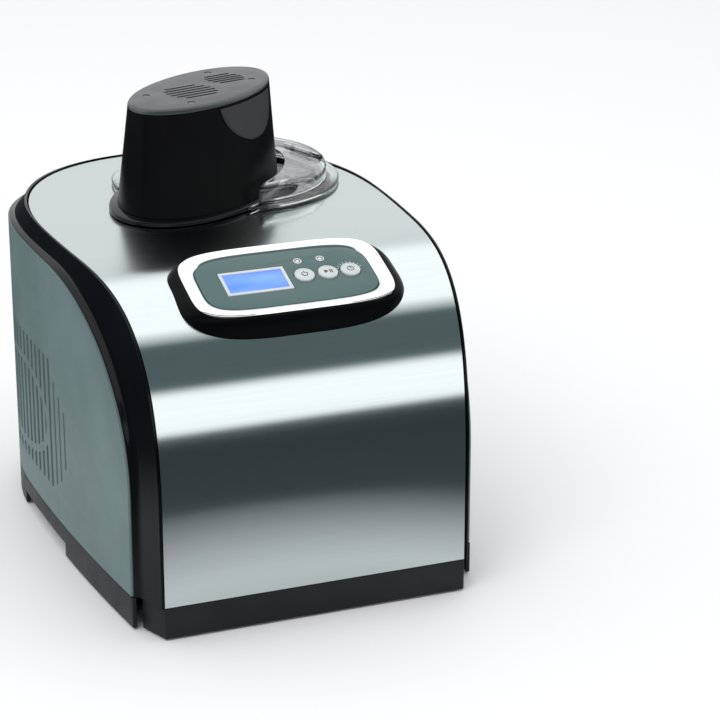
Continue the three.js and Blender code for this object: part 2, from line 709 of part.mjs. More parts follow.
function makeFan() {
  const { x, y, z } = FAN_CENTRE;
  const half = 44;
  const plate = solid(box(x - 12, x - 9, y - half, y + half, z - half, z + half));
  const mouth = solid(disc(40, 0, 40, 32).rotateY(Math.PI / 2).translate(x - 30, y, z));
  add('fan_shroud', geometryOf(plate.subtract(mouth)), finishes.satinBlack);
  const bladeCount = 5;
  const hub = solid(disc(11, -6, 5, 20));
  const blades = Array.from({ length: bladeCount }, (_, i) => solid(
    new THREE.BoxGeometry(28, 18, 1.6)
      .rotateX(0.5)
      .translate(23, 0, 0)
      .rotateZ((2 * Math.PI * i) / bladeCount),
  ));
  const fan = add('fan_blades', geometryOf(union([hub, ...blades])), finishes.satinBlack);
  fan.rotation.y = Math.PI / 2;
  fan.position.set(x, y, z);
  const motor = add('fan_motor', disc(13, 6, 22, 20), finishes.zinc);
  motor.rotation.y = Math.PI / 2;
  motor.position.set(x, y, z);
}

// ---- bowl, its bail and the paddle ----
function makeBowl() {
  const profile = [
    [0, BOWL_BOTTOM_Z], [44, BOWL_BOTTOM_Z], [48.5, 69], [53.9, 215.5], [56.2, 217], [56.2, BOWL_RIM_Z - 0.8],
    [55.2, BOWL_RIM_Z], [53, BOWL_RIM_Z], [52.4, 219], [47, 69.6],
    [43.4, 66.4], [4, 66.4], [3.4, 73], [0, 73],
  ];
  add('bowl', turned(profile, 32), finishes.anodised, bowlGroup);
  [['left', -1], ['right', 1]].forEach(([side, sign]) => {
    const plate = solid(box(sign > 0 ? 54.8 : -61.4, sign > 0 ? 61.4 : -54.8, -6, 6, EAR_Z - 5, EAR_Z + 2.4));
    const bore = solid(disc(BAIL_WIRE + GAP, 50, 70, 12).rotateY(Math.PI / 2 * sign).translate(0, 0, EAR_Z));
    add(`bowl_ear_${side}`, geometryOf(plate.subtract(bore)), finishes.zinc, bowlGroup);
  });
}

function makeBail() {
  const bend = [[-57, 0, EAR_Z], [-BAIL_RADIUS, 0.6, EAR_Z]];
  const steps = 14;
  for (let i = 1; i < steps; i += 1) {
    const angle = Math.PI - (Math.PI * i) / steps;
    bend.push([BAIL_RADIUS * Math.cos(angle), BAIL_RADIUS * Math.sin(angle), EAR_Z]);
  }
  bend.push([BAIL_RADIUS, 0.6, EAR_Z], [57, 0, EAR_Z]);
  add('bail_handle', tube(bend, BAIL_WIRE, 30, 6), finishes.zinc, bowlGroup);
}

function makePaddle() {
  const bladeThick = 3;
  const bladeOutline = [
    [8, 84], [8, 76], [42, 76], [45.4, 96], [47.6, 176],
    [39, 184], [39, 176], [37.5, 100], [35, 88], [12, 88],
  ];
  const wing = (sign) => solid(extruded(
    bladeOutline.map(([px, pz]) => new THREE.Vector2(px * sign, pz)),
    bladeThick,
  ).translate(0, 0, -bladeThick / 2).rotateX(Math.PI / 2));
  const rungs = [solid(box(-44, 44, -2, 2, 120, 126)), solid(box(-45, 45, -2, 2, 158, 164))];
  const shaft = solid(disc(6.5, 75.5, 205, 20))
    .add(solid(disc(8.5, 76, 92, 20)))
    .add(solid(disc(9, 200, 228, 20)));
  const foot = solid(disc(3.9, 74, 78, 16));
  const socket = solid(disc(4.6, 212, 240, 6));
  const pivot = solid(disc(4.6, 60, 74, 12));
  const whole = union([shaft, foot, wing(1), wing(-1), ...rungs]).subtract(socket).subtract(pivot);
  add('paddle', geometryOf(whole), finishes.whitePlastic, bowlGroup);
}

// ---- clear lid and filling flap ----
function towerPrism(size, grow, low, high) {
  return solid(inTowerFrame(prism(ellipse(size, grow, 48), low, high)));
}

// Everything the filling flap covers: inside the hinge line and on the front right of the tower.
function flapZone(grow) {
  const reach = 200;
  const flapEnd = 5;
  const inside = box(-reach, CHORD_DISTANCE - 0.5 + grow, -reach, flapEnd + grow, 200, 300)
    .rotateZ(CHORD_ANGLE);
  const frontRight = solid(inTowerFrame(box(-reach, reach, -reach, grow, 200, 300)));
  return solid(inBowlFrame(inside)).intersect(frontRight);
}

function domeShell(bottom) {
  const top = DOME_TOP_Z;
  const r = DOME_RADIUS;
  const profile = [
    [0, top], [r - 6, top], [r - 2.4, top - 1.2], [r - 0.4, top - 4], [r, bottom], [r - DOME_WALL, bottom],
    [r - DOME_WALL - 0.4, top - 4.6], [r - 7, top - DOME_WALL], [0, top - DOME_WALL],
  ];
  return solid(inBowlFrame(turned(profile, 40))).subtract(towerPrism(TOWER_COLLAR, 0.8, 200, 300));
}

// A hinge knuckle on the chord, from one distance along it to another.
function knuckle(from, to, radius) {
  const barrel = disc(radius, from, to, 14).rotateX(-Math.PI / 2).translate(CHORD_DISTANCE, 0, HINGE_Z);
  return solid(inBowlFrame(barrel.rotateZ(CHORD_ANGLE)));
}

function knuckleWeb(from, to, side) {
  const [x0, x1] = side > 0 ? [0, 3] : [-3, 0];
  const web = box(CHORD_DISTANCE + x0, CHORD_DISTANCE + x1, from, to, DOME_TOP_Z - 1, HINGE_Z + 0.4);
  return solid(inBowlFrame(web.rotateZ(CHORD_ANGLE)));
}

function makeClearLid() {
  const r = PLUG_RADIUS;
  const lidTop = LID_Z + LID_THICK;
  const profile = [
    [0, LID_FLOOR_Z], [r, LID_FLOOR_Z], [r, LID_Z], [LID_RADIUS, LID_Z], [LID_RADIUS, lidTop - 0.6],
    [LID_RADIUS - 0.8, lidTop], [r - 2.4, lidTop], [r - 2.4, LID_FLOOR_Z + 2.4], [0, LID_FLOOR_Z + 2.4],
  ];
  const dish = solid(inBowlFrame(turned(profile, 48)));
  const shaftHole = solid(inBowlFrame(disc(11, 200, 240, 20)));
  const besideShaft = solid(inTowerFrame(box(-FAR, FAR, -FAR, -18, 200, 300)));
  const fillingHole = solid(inBowlFrame(disc(54, 200, 240, 36)))
    .intersect(flapZone(-4))
    .intersect(besideShaft);
  const fixedDome = domeShell(LID_Z + 1).subtract(flapZone(0.9));
  const underCollar = towerPrism(TOWER_COLLAR, 0.8, COLLAR_Z - GAP, TOWER_BASE_Z + GAP);
  let lid = dish.subtract(shaftHole).subtract(fillingHole).add(fixedDome).subtract(underCollar);
  LID_KNUCKLES.forEach(([from, to]) => {
    lid = lid.add(knuckleWeb(from, to, 1)).add(knuckle(from, to, BARREL_RADIUS));
  });
  lid = lid.subtract(knuckle(-60, 6, PIN_RADIUS + GAP));
  add('clear_lid', geometryOf(lid), finishes.clear);
}

function makeFlap() {
  const flap = domeShell(TOWER_BASE_Z).intersect(flapZone(0))
    .add(knuckleWeb(...FLAP_KNUCKLE, -1))
    .add(knuckle(...FLAP_KNUCKLE, BARREL_RADIUS))
    .subtract(knuckle(-60, 6, PIN_RADIUS + GAP));
  add('filling_flap', geometryOf(flap), finishes.clear);
  add('flap_hinge_pin', geometryOf(knuckle(-43.6, -3.4, PIN_RADIUS)), finishes.clear);
}

// ---- motor housing ----
function towerSize(z) {
  const share = (z - TOWER_BASE_Z) / (TOWER_TOP_Z - TOWER_BASE_Z);
  const mix = (key) => THREE.MathUtils.lerp(TOWER_BASE[key], TOWER_TOP[key], share);
  return { x: mix('x'), y: mix('y'), a: mix('a'), b: mix('b'), turn: mix('turn') };
}

function towerLoft(grow, low, high, count = 44) {
  return stack([ellipse(towerSize(low), grow, count), ellipse(towerSize(high), grow, count)], [low, high]);
}

function makeMotorHousing() {
  const base = solid(prism(ellipse(TOWER_COLLAR, 0, 48), COLLAR_Z, TOWER_BASE_Z - GAP));
  const outlet = solid(disc(13, 200, 260, 24).translate(OUTPUT_AT.x, OUTPUT_AT.y, 0));
  add('tower_base', geometryOf(base.subtract(outlet)), finishes.glossBlack, tower);

  const shell = solid(towerLoft(0, TOWER_BASE_Z, TOWER_WALL_TOP_Z))
    .subtract(solid(towerLoft(-TOWER_WALL, TOWER_BASE_Z - 2, TOWER_WALL_TOP_Z + 2)));
  add('motor_housing', geometryOf(shell), finishes.satinBlack, tower);
}

// Puts a piece drawn about the cap's centre into the tower's frame.
function onCap(geometry, x, y) {
  const at = new THREE.Vector2(x, y).rotateAround(new THREE.Vector2(), TOWER_TOP.turn);
  return geometry.translate(TOWER_TOP.x + at.x, TOWER_TOP.y + at.y, 0);
}

function makeTowerCap() {
  const low = TOWER_WALL_TOP_Z + GAP;
  const edge = TOWER_TOP_Z - 1.2;
  const outlines = [
    ellipse(towerSize(low), 0, 44),
    ellipse(towerSize(edge), 0, 44),
    ellipse(TOWER_TOP, -1.6, 44),
  ];
  let cap = solid(stack(outlines, [low, edge, TOWER_TOP_Z]));
  const slotWidth = 2.6;
  CAP_VENTS.forEach(({ x, y, radius, slots }) => {
    const pitch = (2 * radius) / (slots + 1);
    const cuts = Array.from({ length: slots }, (_, i) => {
      const offset = -radius + pitch * (i + 1);
      const reach = Math.sqrt(radius * radius - offset * offset) - 1;
      const slot = box(-reach, reach, offset - slotWidth / 2, offset + slotWidth / 2, 290, 320);
      return solid(onCap(slot.rotateZ(-TOWER_ANGLE / 2), x, y));
    });
    cap = cap.subtract(union(cuts));
  });
  const headRadius = 2.2;
  const shankRadius = 1.1;
  const seat = TOWER_TOP_Z - 1.6;
  const corners = [[-1, -1], [1, -1], [1, 1], [-1, 1]];
  corners.forEach(([right, back], i) => {
    const x = right * CAP_SCREW_AT.x;
    const y = back * CAP_SCREW_AT.y;
    const well = solid(onCap(disc(headRadius + GAP, seat - GAP, 320, 12), x, y));
    const shankHole = solid(onCap(disc(shankRadius + GAP, 290, 320, 8), x, y));
    cap = cap.subtract(well).subtract(shankHole);
    const profile = [
      [0, 296], [shankRadius, 296], [shankRadius, seat],
      [headRadius, seat], [headRadius, TOWER_TOP_Z - 0.5], [0, TOWER_TOP_Z - 0.1],
    ];
    add(`cap_screw_${i + 1}`, onCap(turned(profile, 10), x, y), finishes.zinc, tower);
  });
  add('tower_cap', geometryOf(cap), finishes.satinBlack, tower);
}

// Shield-shaped finger pads on both broad sides of the housing.
function makeGripPads() {
  const skin = solid(towerLoft(1.3, TOWER_BASE_Z, TOWER_WALL_TOP_Z - 0.6, 56))
    .subtract(solid(towerLoft(GAP, TOWER_BASE_Z - 4, TOWER_WALL_TOP_Z + 4, 56)));
  const steps = 14;
  const roundness = 2.2;
  const shield = Array.from({ length: steps + 1 }, (_, i) => {
    const angle = (Math.PI * i) / steps;
    const fall = Math.sin(angle) ** (2 / roundness);
    return new THREE.Vector2(PAD_X + PAD_HALF * Math.cos(angle), PAD_HIGH - (PAD_HIGH - PAD_LOW) * fall);
  });
  [['front', -1], ['back', 1]].forEach(([side, sign]) => {
    const punch = extruded(shield, 90).rotateX(Math.PI / 2).translate(0, sign > 0 ? 92 : -2, 0);
    add(`grip_pad_${side}`, geometryOf(skin.intersect(solid(punch))), finishes.gripGrey, tower);
  });
}

// Straight-flanked gear teeth, with a tooth centred on the +X direction when phase is 0.
function gearOutline(teeth, phase) {
  const pitchRadius = (GEAR_MODULE * teeth) / 2;
  const root = pitchRadius - 1.15 * GEAR_MODULE;
  const tip = pitchRadius + 0.85 * GEAR_MODULE;
  const step = (2 * Math.PI) / teeth;
  const flank = [[-0.31, root], [-0.12, tip], [0.12, tip], [0.31, root]];
  const points = [];
  for (let i = 0; i < teeth; i += 1) {
    flank.forEach(([share, radius]) => {
      const angle = step * (i + share + phase);
      points.push(new THREE.Vector2(radius * Math.cos(angle), radius * Math.sin(angle)));
    });
  }
  return points;
}

function makeDrive() {
  const top = GEAR_Z + GEAR_THICK;
  const outputIdler = (GEAR_MODULE * (OUTPUT_TEETH + IDLER_TEETH)) / 2;
  const idlerPinion = (GEAR_MODULE * (IDLER_TEETH + PINION_TEETH)) / 2;
  const idlerX = OUTPUT_AT.x - outputIdler;
  const pinionX = idlerX - idlerPinion;

  const output = solid(prism(gearOutline(OUTPUT_TEETH, 0), GEAR_Z, top)).add(solid(disc(7, 230, top, 20)))
    .add(solid(disc(3.9, 214, 236, 6)));
  const outputGear = add('output_gear', geometryOf(output), finishes.whitePlastic, tower);
  outputGear.position.set(OUTPUT_AT.x, OUTPUT_AT.y, 0);

  const idlerHole = solid(disc(2.6 + GAP, 200, 300, 16));
  const idler = solid(prism(gearOutline(IDLER_TEETH, 0.5), GEAR_Z, top)).subtract(idlerHole);
  const idlerGear = add('idler_gear', geometryOf(idler), finishes.whitePlastic, tower);
  idlerGear.position.set(idlerX, OUTPUT_AT.y, 0);

  const pinion = solid(prism(gearOutline(PINION_TEETH, 0), GEAR_Z, top))
    .add(solid(disc(2.4, GEAR_Z, 257, 16)));
  const motorPinion = add('motor_pinion', geometryOf(pinion), finishes.zinc, tower);
  motorPinion.position.set(pinionX, OUTPUT_AT.y, 0);

  const plateLow = 248;
  const plateOutline = ellipse(towerSize(plateLow), -TOWER_WALL - 0.8, 40);
  const shaftHole = circlePoints(4, 16, pinionX, OUTPUT_AT.y);
  const idlerPin = solid(disc(2.6, TOWER_BASE_Z, plateLow + 1, 16).translate(idlerX, OUTPUT_AT.y, 0));
  const plate = solid(prism(plateOutline, plateLow, plateLow + 2, [shaftHole])).add(idlerPin);
  add('gear_plate', geometryOf(plate), finishes.zinc, tower);

  const can = [
    [2.8, 250.4], [22, 250.4], [22, 284], [17, 288], [6, 288],
    [6, 293], [0, 293], [0, 260], [2.8, 260], [2.8, 250.4],
  ];
  const motor = add('mixing_motor', turned(can, 28), finishes.zinc, tower);
  motor.position.set(pinionX, OUTPUT_AT.y, 0);
}

makeBasePan();
makeFrontSkirt();
makeSideSkirts();
makeFeet();
makeSteelCover();
makeSideFrames();
makeSideAndRearPanels();
makePowerInlet();
makePanelHousing();
makePanelFace();
makeWell();
makeCompressor();
makeCondenser();
makeFan();
makeBowl();
makeBail();
makePaddle();
makeClearLid();
makeFlap();
makeMotorHousing();
makeTowerCap();
makeGripPads();
makeDrive();

export default machine;
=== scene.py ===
"""Looks of the countertop ice cream maker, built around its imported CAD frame.

Lengths are in millimetres while a piece is made, with y = 0 at the machine's front face; place() turns
them into metres in the frame's own axes.
"""
import json
import math

import bmesh
import bpy
import numpy as np
from mathutils import Matrix, Vector


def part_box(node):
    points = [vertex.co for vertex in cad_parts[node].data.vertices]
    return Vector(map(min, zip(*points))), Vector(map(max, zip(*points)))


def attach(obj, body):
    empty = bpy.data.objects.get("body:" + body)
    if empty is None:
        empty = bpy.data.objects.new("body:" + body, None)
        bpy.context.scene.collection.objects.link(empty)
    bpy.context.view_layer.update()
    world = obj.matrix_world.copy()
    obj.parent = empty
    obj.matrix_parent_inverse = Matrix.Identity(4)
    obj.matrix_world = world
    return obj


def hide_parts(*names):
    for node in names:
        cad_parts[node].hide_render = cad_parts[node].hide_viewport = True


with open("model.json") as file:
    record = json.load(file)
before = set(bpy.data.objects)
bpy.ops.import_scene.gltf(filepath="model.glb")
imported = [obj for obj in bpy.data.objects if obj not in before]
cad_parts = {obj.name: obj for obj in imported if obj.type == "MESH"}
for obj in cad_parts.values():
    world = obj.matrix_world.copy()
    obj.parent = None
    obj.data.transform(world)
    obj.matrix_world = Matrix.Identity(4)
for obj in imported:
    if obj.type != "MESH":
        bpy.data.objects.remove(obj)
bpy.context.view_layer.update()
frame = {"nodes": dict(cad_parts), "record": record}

# ---------------------------------------------------------------- driving dimensions (mm)
MM = 0.001
TOP_Z = 230.3
STEEL = 1.5
SHELL = 3.0
GAP = 0.4
SKIRT_TOP = 23.7
SKIRT_BOTTOM = 1.5
BODY_BOTTOM = SKIRT_TOP + 0.6
RAISED_HEM = 11.0
PANEL_SEAM = 0.6
REAR_SPLIT_Y = 345.0
FAR = 200.0

STEEL_PLAN = dict(front=108.0, widest=127.0, widest_y=213.0, back=368.0, front_power=1.47, back_power=2.3)
SIDE_PLAN = dict(front=120.2, widest=136.6, widest_y=235.0, back=376.5, front_power=1.9, back_power=2.64)
ARCH = [np.array(p) for p in ((0.0, 88.3), (0.0, 220.1), (58.8, TOP_Z), (138.1, TOP_Z))]
SIDE_TOP_Z = 216.0
SIDE_EDGE = [np.array(p) for p in ((25.6, 95.0), (25.6, 160.0), (78.0, SIDE_TOP_Z), (175.0, SIDE_TOP_Z))]
CORNER_HEEL = (117.0, 23.0)

VENT_Y = 252.5
VENT_Z = 89.5
VENT_SLOTS = 15
VENT_PITCH = 10.6
VENT_SLOT_WIDTH = 4.4
VENT_LOW = 46.0
VENT_HIGH = 144.0
VENT_BAND = ((71.0, 36.0), (64.0, 30.0))

PANEL_CENTRE = Vector((1.0, 58.3, 225.1))
PANEL_TILT = math.radians(18.5)
RING_HALF = (71.4, 37.5)
FASCIA_HALF = (61.0, 28.6)
PANEL_POWER = 4.5
LCD_CENTRE_X = -22.0
LCD_HALF = (23.2, 12.6)
BUTTON_X = (12.7, 29.5, 45.7)
BUTTON_RADIUS = 6.9
LED_X = (13.3, 29.5)
LED_Y = 16.5
LED_RADIUS = 1.5

BOWL_CENTRE = Vector((30.2, 273.8, 0.0))
WELL_HOLE_RADIUS = 78.0
LID_RADIUS = 84.6
LID_Z = TOP_Z + 1.4
LID_THICK = 2.4
PLUG_RADIUS = 71.8
LID_FLOOR_Z = 224.0
DOME_RADIUS = 75.5
DOME_TOP_Z = 247.0
DOME_WALL = 2.4
CHORD_DISTANCE = 54.6
CHORD_ANGLE = math.radians(17.7)
PIN_RADIUS = 0.7
BARREL_RADIUS = 1.7
HINGE_Z = DOME_TOP_Z + BARREL_RADIUS + GAP
LID_KNUCKLES = ((-44.0, -35.0), (-12.0, -3.0))
FLAP_KNUCKLE = (-34.4, -12.6)
SHAFT_CLEARANCE = 18.0

TOWER_CENTRE = Vector((0.0, 246.8, 0.0))
TOWER_ANGLE = math.pi / 4
TOWER_COLLAR = dict(x=0.0, y=0.0, a=89.3, b=55.6, turn=0.0)
TOWER_BASE = dict(x=1.6, y=0.0, a=82.6, b=50.7, turn=0.0)
TOWER_TOP = dict(x=9.2, y=1.5, a=72.3, b=37.8, turn=math.radians(-7))
COLLAR_Z = TOP_Z + 0.6
TOWER_BASE_Z = 234.8
TOWER_WALL_TOP_Z = 304.6
TOWER_TOP_Z = 308.6
TOWER_WALL = 2.8
OVAL_STEPS = 144
SLOT_WIDTH = 2.6
SLOT_STEPS = 5
SCREW_HEAD = 2.2
SCREW_SHANK = 1.1
CAP_SCREW_AT = (39.5, 19.4)
CAP_VENTS = ((-13.7, -1.5, 20.0, 6), (31.4, -0.7, 15.4, 5))
PAD_X = 11.0
PAD_HALF = 34.5
PAD_LOW = 275.0
PAD_HIGH = 303.4

BOWL_RIM_Z = 221.5
BOWL_BOTTOM_Z = 64.5
EAR_Z = 213.5
BAIL_RADIUS = 63.0
BAIL_WIRE = 1.5

# The frame's origin is the footprint's centre, so the front face sits behind the steel cover's low edge.
FRONT_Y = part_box("front_skirt")[0].y / MM

# Camera, from the photograph's viewpoint (mm from the front face's foot).
CAMERA_PLACE = Vector((-550.0, -1479.5, 767.7))
CAMERA_PITCH = math.radians(20.25)
CAMERA_YAW = math.radians(21.43)
CAMERA_LENS = 128.35
SENSOR = 36.0

scene = bpy.context.scene


def make_camera():
    data = bpy.data.cameras.new("camera")
    data.lens = CAMERA_LENS
    data.sensor_width = SENSOR
    data.clip_end = 20
    camera = bpy.data.objects.new("camera", data)
    camera.location = (CAMERA_PLACE + Vector((0, FRONT_Y, 0))) * MM
    camera.rotation_euler = (math.pi / 2 - CAMERA_PITCH, 0, -CAMERA_YAW)
    scene.collection.objects.link(camera)
    scene.camera = camera


# ---------------------------------------------------------------- materials
def new_material(name, color, roughness, metallic=0.0, **sockets):
    material = bpy.data.materials.new(name)
    material.use_nodes = True
    shader = material.node_tree.nodes["Principled BSDF"]
    shader.inputs["Base Color"].default_value = (*color, 1)
    shader.inputs["Roughness"].default_value = roughness
    shader.inputs["Metallic"].default_value = metallic
    for socket, value in sockets.items():
        shader.inputs[socket.replace("_", " ")].default_value = value
    return material


def coordinates(material, scale):
    nodes = material.node_tree.nodes
    links = material.node_tree.links
    source = nodes.new("ShaderNodeTexCoord")
    mapping = nodes.new("ShaderNodeMapping")
    mapping.inputs["Scale"].default_value = scale
    links.new(source.outputs["Object"], mapping.inputs["Vector"])
    return mapping.outputs["Vector"]


def noise(material, scale, detail=3.0, stretch=(1, 1, 1)):
    nodes = material.node_tree.nodes
    texture = nodes.new("ShaderNodeTexNoise")
    texture.inputs["Scale"].default_value = scale
    texture.inputs["Detail"].default_value = detail
    material.node_tree.links.new(coordinates(material, stretch), texture.inputs["Vector"])
    return texture.outputs["Fac"]


def ranged(material, value, low, high):
    node = material.node_tree.nodes.new("ShaderNodeMapRange")
    node.inputs["From Min"].default_value = 0.3
    node.inputs["From Max"].default_value = 0.7
    node.inputs["To Min"].default_value = low
    node.inputs["To Max"].default_value = high
    material.node_tree.links.new(value, node.inputs["Value"])
    return node.outputs["Result"]


def colour_ramp(tree, value, stops):
    ramp = tree.nodes.new("ShaderNodeValToRGB")
    elements = ramp.color_ramp.elements
    elements[0].position, elements[1].position = stops[0][0], stops[-1][0]
    for position, _ in stops[1:-1]:
        elements.new(position)
    for element, (_, color) in zip(elements, stops):
        element.color = (*color, 1)
    tree.links.new(value, ramp.inputs["Fac"])
    return ramp.outputs["Color"]


def tinted(material, value, dark, light):
    return colour_ramp(material.node_tree, value, [(0.3, dark), (0.7, light)])


def bumped(material, value, strength, distance=0.0005, over=None):
    node = material.node_tree.nodes.new("ShaderNodeBump")
    node.inputs["Strength"].default_value = strength
    node.inputs["Distance"].default_value = distance
    material.node_tree.links.new(value, node.inputs["Height"])
    if over is not None:
        material.node_tree.links.new(over, node.inputs["Normal"])
    return node.outputs["Normal"]


def shade(material, **inputs):
    shader = material.node_tree.nodes["Principled BSDF"]
    for socket, output in inputs.items():
        material.node_tree.links.new(output, shader.inputs[socket.replace("_", " ")])


def moulded(name, dark, light, low, high, grain=900, bump=0.12, **sockets):
    """Moulded plastic: fine grain, a slow colour drift and uneven gloss."""
    material = new_material(name, light, (low + high) / 2, **sockets)
    drift = noise(material, 14, 2)
    fine = noise(material, grain, 2)
    shade(
        material,
        Base_Color=tinted(material, drift, dark, light),
        Roughness=ranged(material, noise(material, 60, 4), low, high),
        Normal=bumped(material, fine, bump),
    )
    return material


def brushed(name, dark, light, low, high, stretch, bump=0.1, **sockets):
    """Metal with its grain drawn out along the stretch's small axes."""
    material = new_material(name, light, (low + high) / 2, 1.0, **sockets)
    streaks = noise(material, 1, 4, stretch)
    fine = noise(material, 1, 2, tuple(2.7 * s for s in stretch))
    shade(
        material,
        Base_Color=tinted(material, streaks, dark, light),
        Roughness=ranged(material, streaks, low, high),
        Normal=bumped(material, fine, bump, 0.0002),
    )
    return material


def metal(name, dark, light, low, high, scale=250, bump=0.08):
    material = new_material(name, light, (low + high) / 2, 1.0)
    shade(
        material,
        Base_Color=tinted(material, noise(material, 30, 4), dark, light),
        Roughness=ranged(material, noise(material, scale, 5), low, high),
        Normal=bumped(material, noise(material, scale * 3, 2), bump, 0.0002),
    )
    return material


def clear_plastic():
    material = new_material("clear_polycarbonate", (0.985, 1.0, 1.0), 0.04, IOR=1.5, Transmission_Weight=1.0)
    shade(
        material,
        Roughness=ranged(material, noise(material, 40, 4), 0.02, 0.07),
        Normal=bumped(material, noise(material, 30, 2), 0.05, 0.0006),
    )
    return material


def lcd_glow():
    material = new_material("lcd_backlight", (0.1, 0.2, 0.8), 0.12, Emission_Strength=0.55)
    glow = tinted(material, noise(material, 28, 1, (1, 2.2, 1)), (0.05, 0.16, 0.95), (0.12, 0.27, 1.0))
    gloss = ranged(material, noise(material, 90), 0.08, 0.16)
    shade(material, Base_Color=glow, Emission_Color=glow, Roughness=gloss)
    return material


def sheet_steel():
    """Steel sheet with a fine grain running side to side; its bands of reflection stay crisp over the fold."""
    material = new_material("brushed_steel", (0.6, 0.66, 0.66), 0.17, 1.0,
                            Anisotropic=0.85, Anisotropic_Rotation=0.25)
    tangent = material.node_tree.nodes.new("ShaderNodeTangent")
    tangent.direction_type = "RADIAL"
    tangent.axis = "X"
    grain = noise(material, 1, 3, (12, 2500, 2500))
    shade(
        material,
        Base_Color=tinted(material, grain, (0.6, 0.66, 0.66), (0.64, 0.7, 0.7)),
        Roughness=ranged(material, noise(material, 1, 3, (9, 1600, 1600)), 0.155, 0.18),
        Tangent=tangent.outputs["Tangent"],
    )
    return material


MATERIALS = {
    "brushed_steel": sheet_steel(),
    "silver_paint": moulded("silver_paint", (0.12, 0.175, 0.177), (0.15, 0.215, 0.217), 0.42, 0.52,
                            1400, 0.08, Specular_IOR_Level=0.2),
    "gloss_black": moulded("gloss_black", (0.002, 0.002, 0.003), (0.004, 0.005, 0.006), 0.1, 0.16, 500, 0.02,
                           Specular_IOR_Level=0.15),
    "satin_black": moulded("satin_black", (0.002, 0.002, 0.003), (0.003, 0.0035, 0.0035), 0.28, 0.36,
                           1300, 0.04, Specular_IOR_Level=0.05),
    "skirt_black": moulded("skirt_black", (0.008, 0.011, 0.012), (0.015, 0.019, 0.02), 0.34, 0.46, 1200, 0.12,
                           Specular_IOR_Level=0.2),
    "clear": clear_plastic(),
    "chrome": metal("chrome_plate", (0.86, 0.88, 0.89), (0.93, 0.95, 0.95), 0.04, 0.09, 60, 0.01),
    "fascia_grey": moulded("fascia_grey", (0.08, 0.14, 0.138), (0.095, 0.16, 0.156), 0.35, 0.45, 1500, 0.04,
                           Specular_IOR_Level=0.2),
    "silver_print": moulded("silver_print", (0.56, 0.6, 0.6), (0.68, 0.72, 0.72), 0.25, 0.35, 1200, 0.05),
    "lcd_blue": lcd_glow(),
    "grip_grey": moulded("grip_grey", (0.02, 0.021, 0.023), (0.032, 0.034, 0.036), 0.42, 0.55, 1600, 0.35),
    "rubber": moulded("rubber", (0.01, 0.01, 0.01), (0.02, 0.02, 0.02), 0.75, 0.9, 700, 0.4),
    "aluminium": brushed("aluminium", (0.5, 0.51, 0.52), (0.66, 0.67, 0.68), 0.3, 0.42, (40, 40, 900), 0.08),
    "anodised": brushed("anodised", (0.022, 0.026, 0.027), (0.036, 0.041, 0.043), 0.32, 0.42,
                        (60, 60, 800), 0.1),
    "copper": metal("copper_tube", (0.55, 0.26, 0.14), (0.75, 0.4, 0.24), 0.22, 0.4),
    "foam": moulded("foam", (0.6, 0.55, 0.42), (0.78, 0.74, 0.6), 0.85, 0.95, 400, 0.8),
    "board_green": moulded("circuit_board", (0.01, 0.09, 0.035), (0.02, 0.15, 0.06), 0.35, 0.5, 500, 0.3),
    "zinc": metal("zinc_plate", (0.42, 0.44, 0.45), (0.58, 0.6, 0.61), 0.25, 0.42),
    "compressor_black": moulded("compressor_paint", (0.008, 0.008, 0.008), (0.02, 0.02, 0.02), 0.3, 0.5,
                                300, 0.3),
    "white_plastic": moulded("white_plastic", (0.72, 0.72, 0.69), (0.8, 0.8, 0.78), 0.32, 0.45, 1000, 0.1),
}
# The cap is the housing's black plastic. Its lighter, bluer colour here is a painted reflection of the sky on
# its top face, and it is also made glossier.
CAP_BLACK_PAINTED_SKY_SHEEN = moulded("cap_black_painted_sky_sheen", (0.02, 0.03, 0.032), (0.03, 0.042, 0.045), 0.3, 0.4, 1300, 0.08,
                    Specular_IOR_Level=0.75)
MARK_WHITE = moulded("printed_white", (0.62, 0.65, 0.65), (0.75, 0.78, 0.78), 0.4, 0.5, 1500, 0.05)
MARK_DARK = moulded("printed_dark", (0.03, 0.035, 0.035), (0.05, 0.055, 0.055), 0.4, 0.5, 1500, 0.05)


# ---------------------------------------------------------------- mesh helpers
def mesh_object(name, vertices, faces):
    mesh = bpy.data.meshes.new(name)
    mesh.from_pydata([tuple(v) for v in vertices], [], faces)
    thing = bpy.data.objects.new(name, mesh)
    scene.collection.objects.link(thing)
    tidy_normals(thing)
    return thing


def tidy_normals(thing, merge=1e-4):
    work = bmesh.new()
    work.from_mesh(thing.data)
    bmesh.ops.remove_doubles(work, verts=work.verts, dist=merge)
    bmesh.ops.dissolve_degenerate(work, edges=work.edges, dist=merge)
    bmesh.ops.recalc_face_normals(work, faces=work.faces)
    work.to_mesh(thing.data)
    work.free()


def apply_modifiers(thing):
    graph = bpy.context.evaluated_depsgraph_get()
    made = bpy.data.meshes.new_from_object(thing.evaluated_get(graph))
    thing.modifiers.clear()
    old = thing.data
    thing.data = made
    bpy.data.meshes.remove(old)


def cut(thing, *tools, how="DIFFERENCE"):
    for tool in tools:
        modifier = thing.modifiers.new(how, "BOOLEAN")
        modifier.operation = how
        modifier.solver = "EXACT"
        modifier.object = tool
        apply_modifiers(thing)
        bpy.data.objects.remove(tool)
    return thing


def keep(thing, *tools):
    return cut(thing, *tools, how="INTERSECT")


def join(thing, *tools):
    return cut(thing, *tools, how="UNION")


def copy_of(thing, name):
    twin = thing.copy()
    twin.data = thing.data.copy()
    twin.name = name
    scene.collection.objects.link(twin)
    return twin


def bevel(thing, width, segments=2, angle=35):
    modifier = thing.modifiers.new("bevel", "BEVEL")
    modifier.width = width
    modifier.segments = segments
    modifier.limit_method = "ANGLE"
    modifier.angle_limit = math.radians(angle)
    modifier.harden_normals = False
    modifier.use_clamp_overlap = True
    apply_modifiers(thing)
    return thing


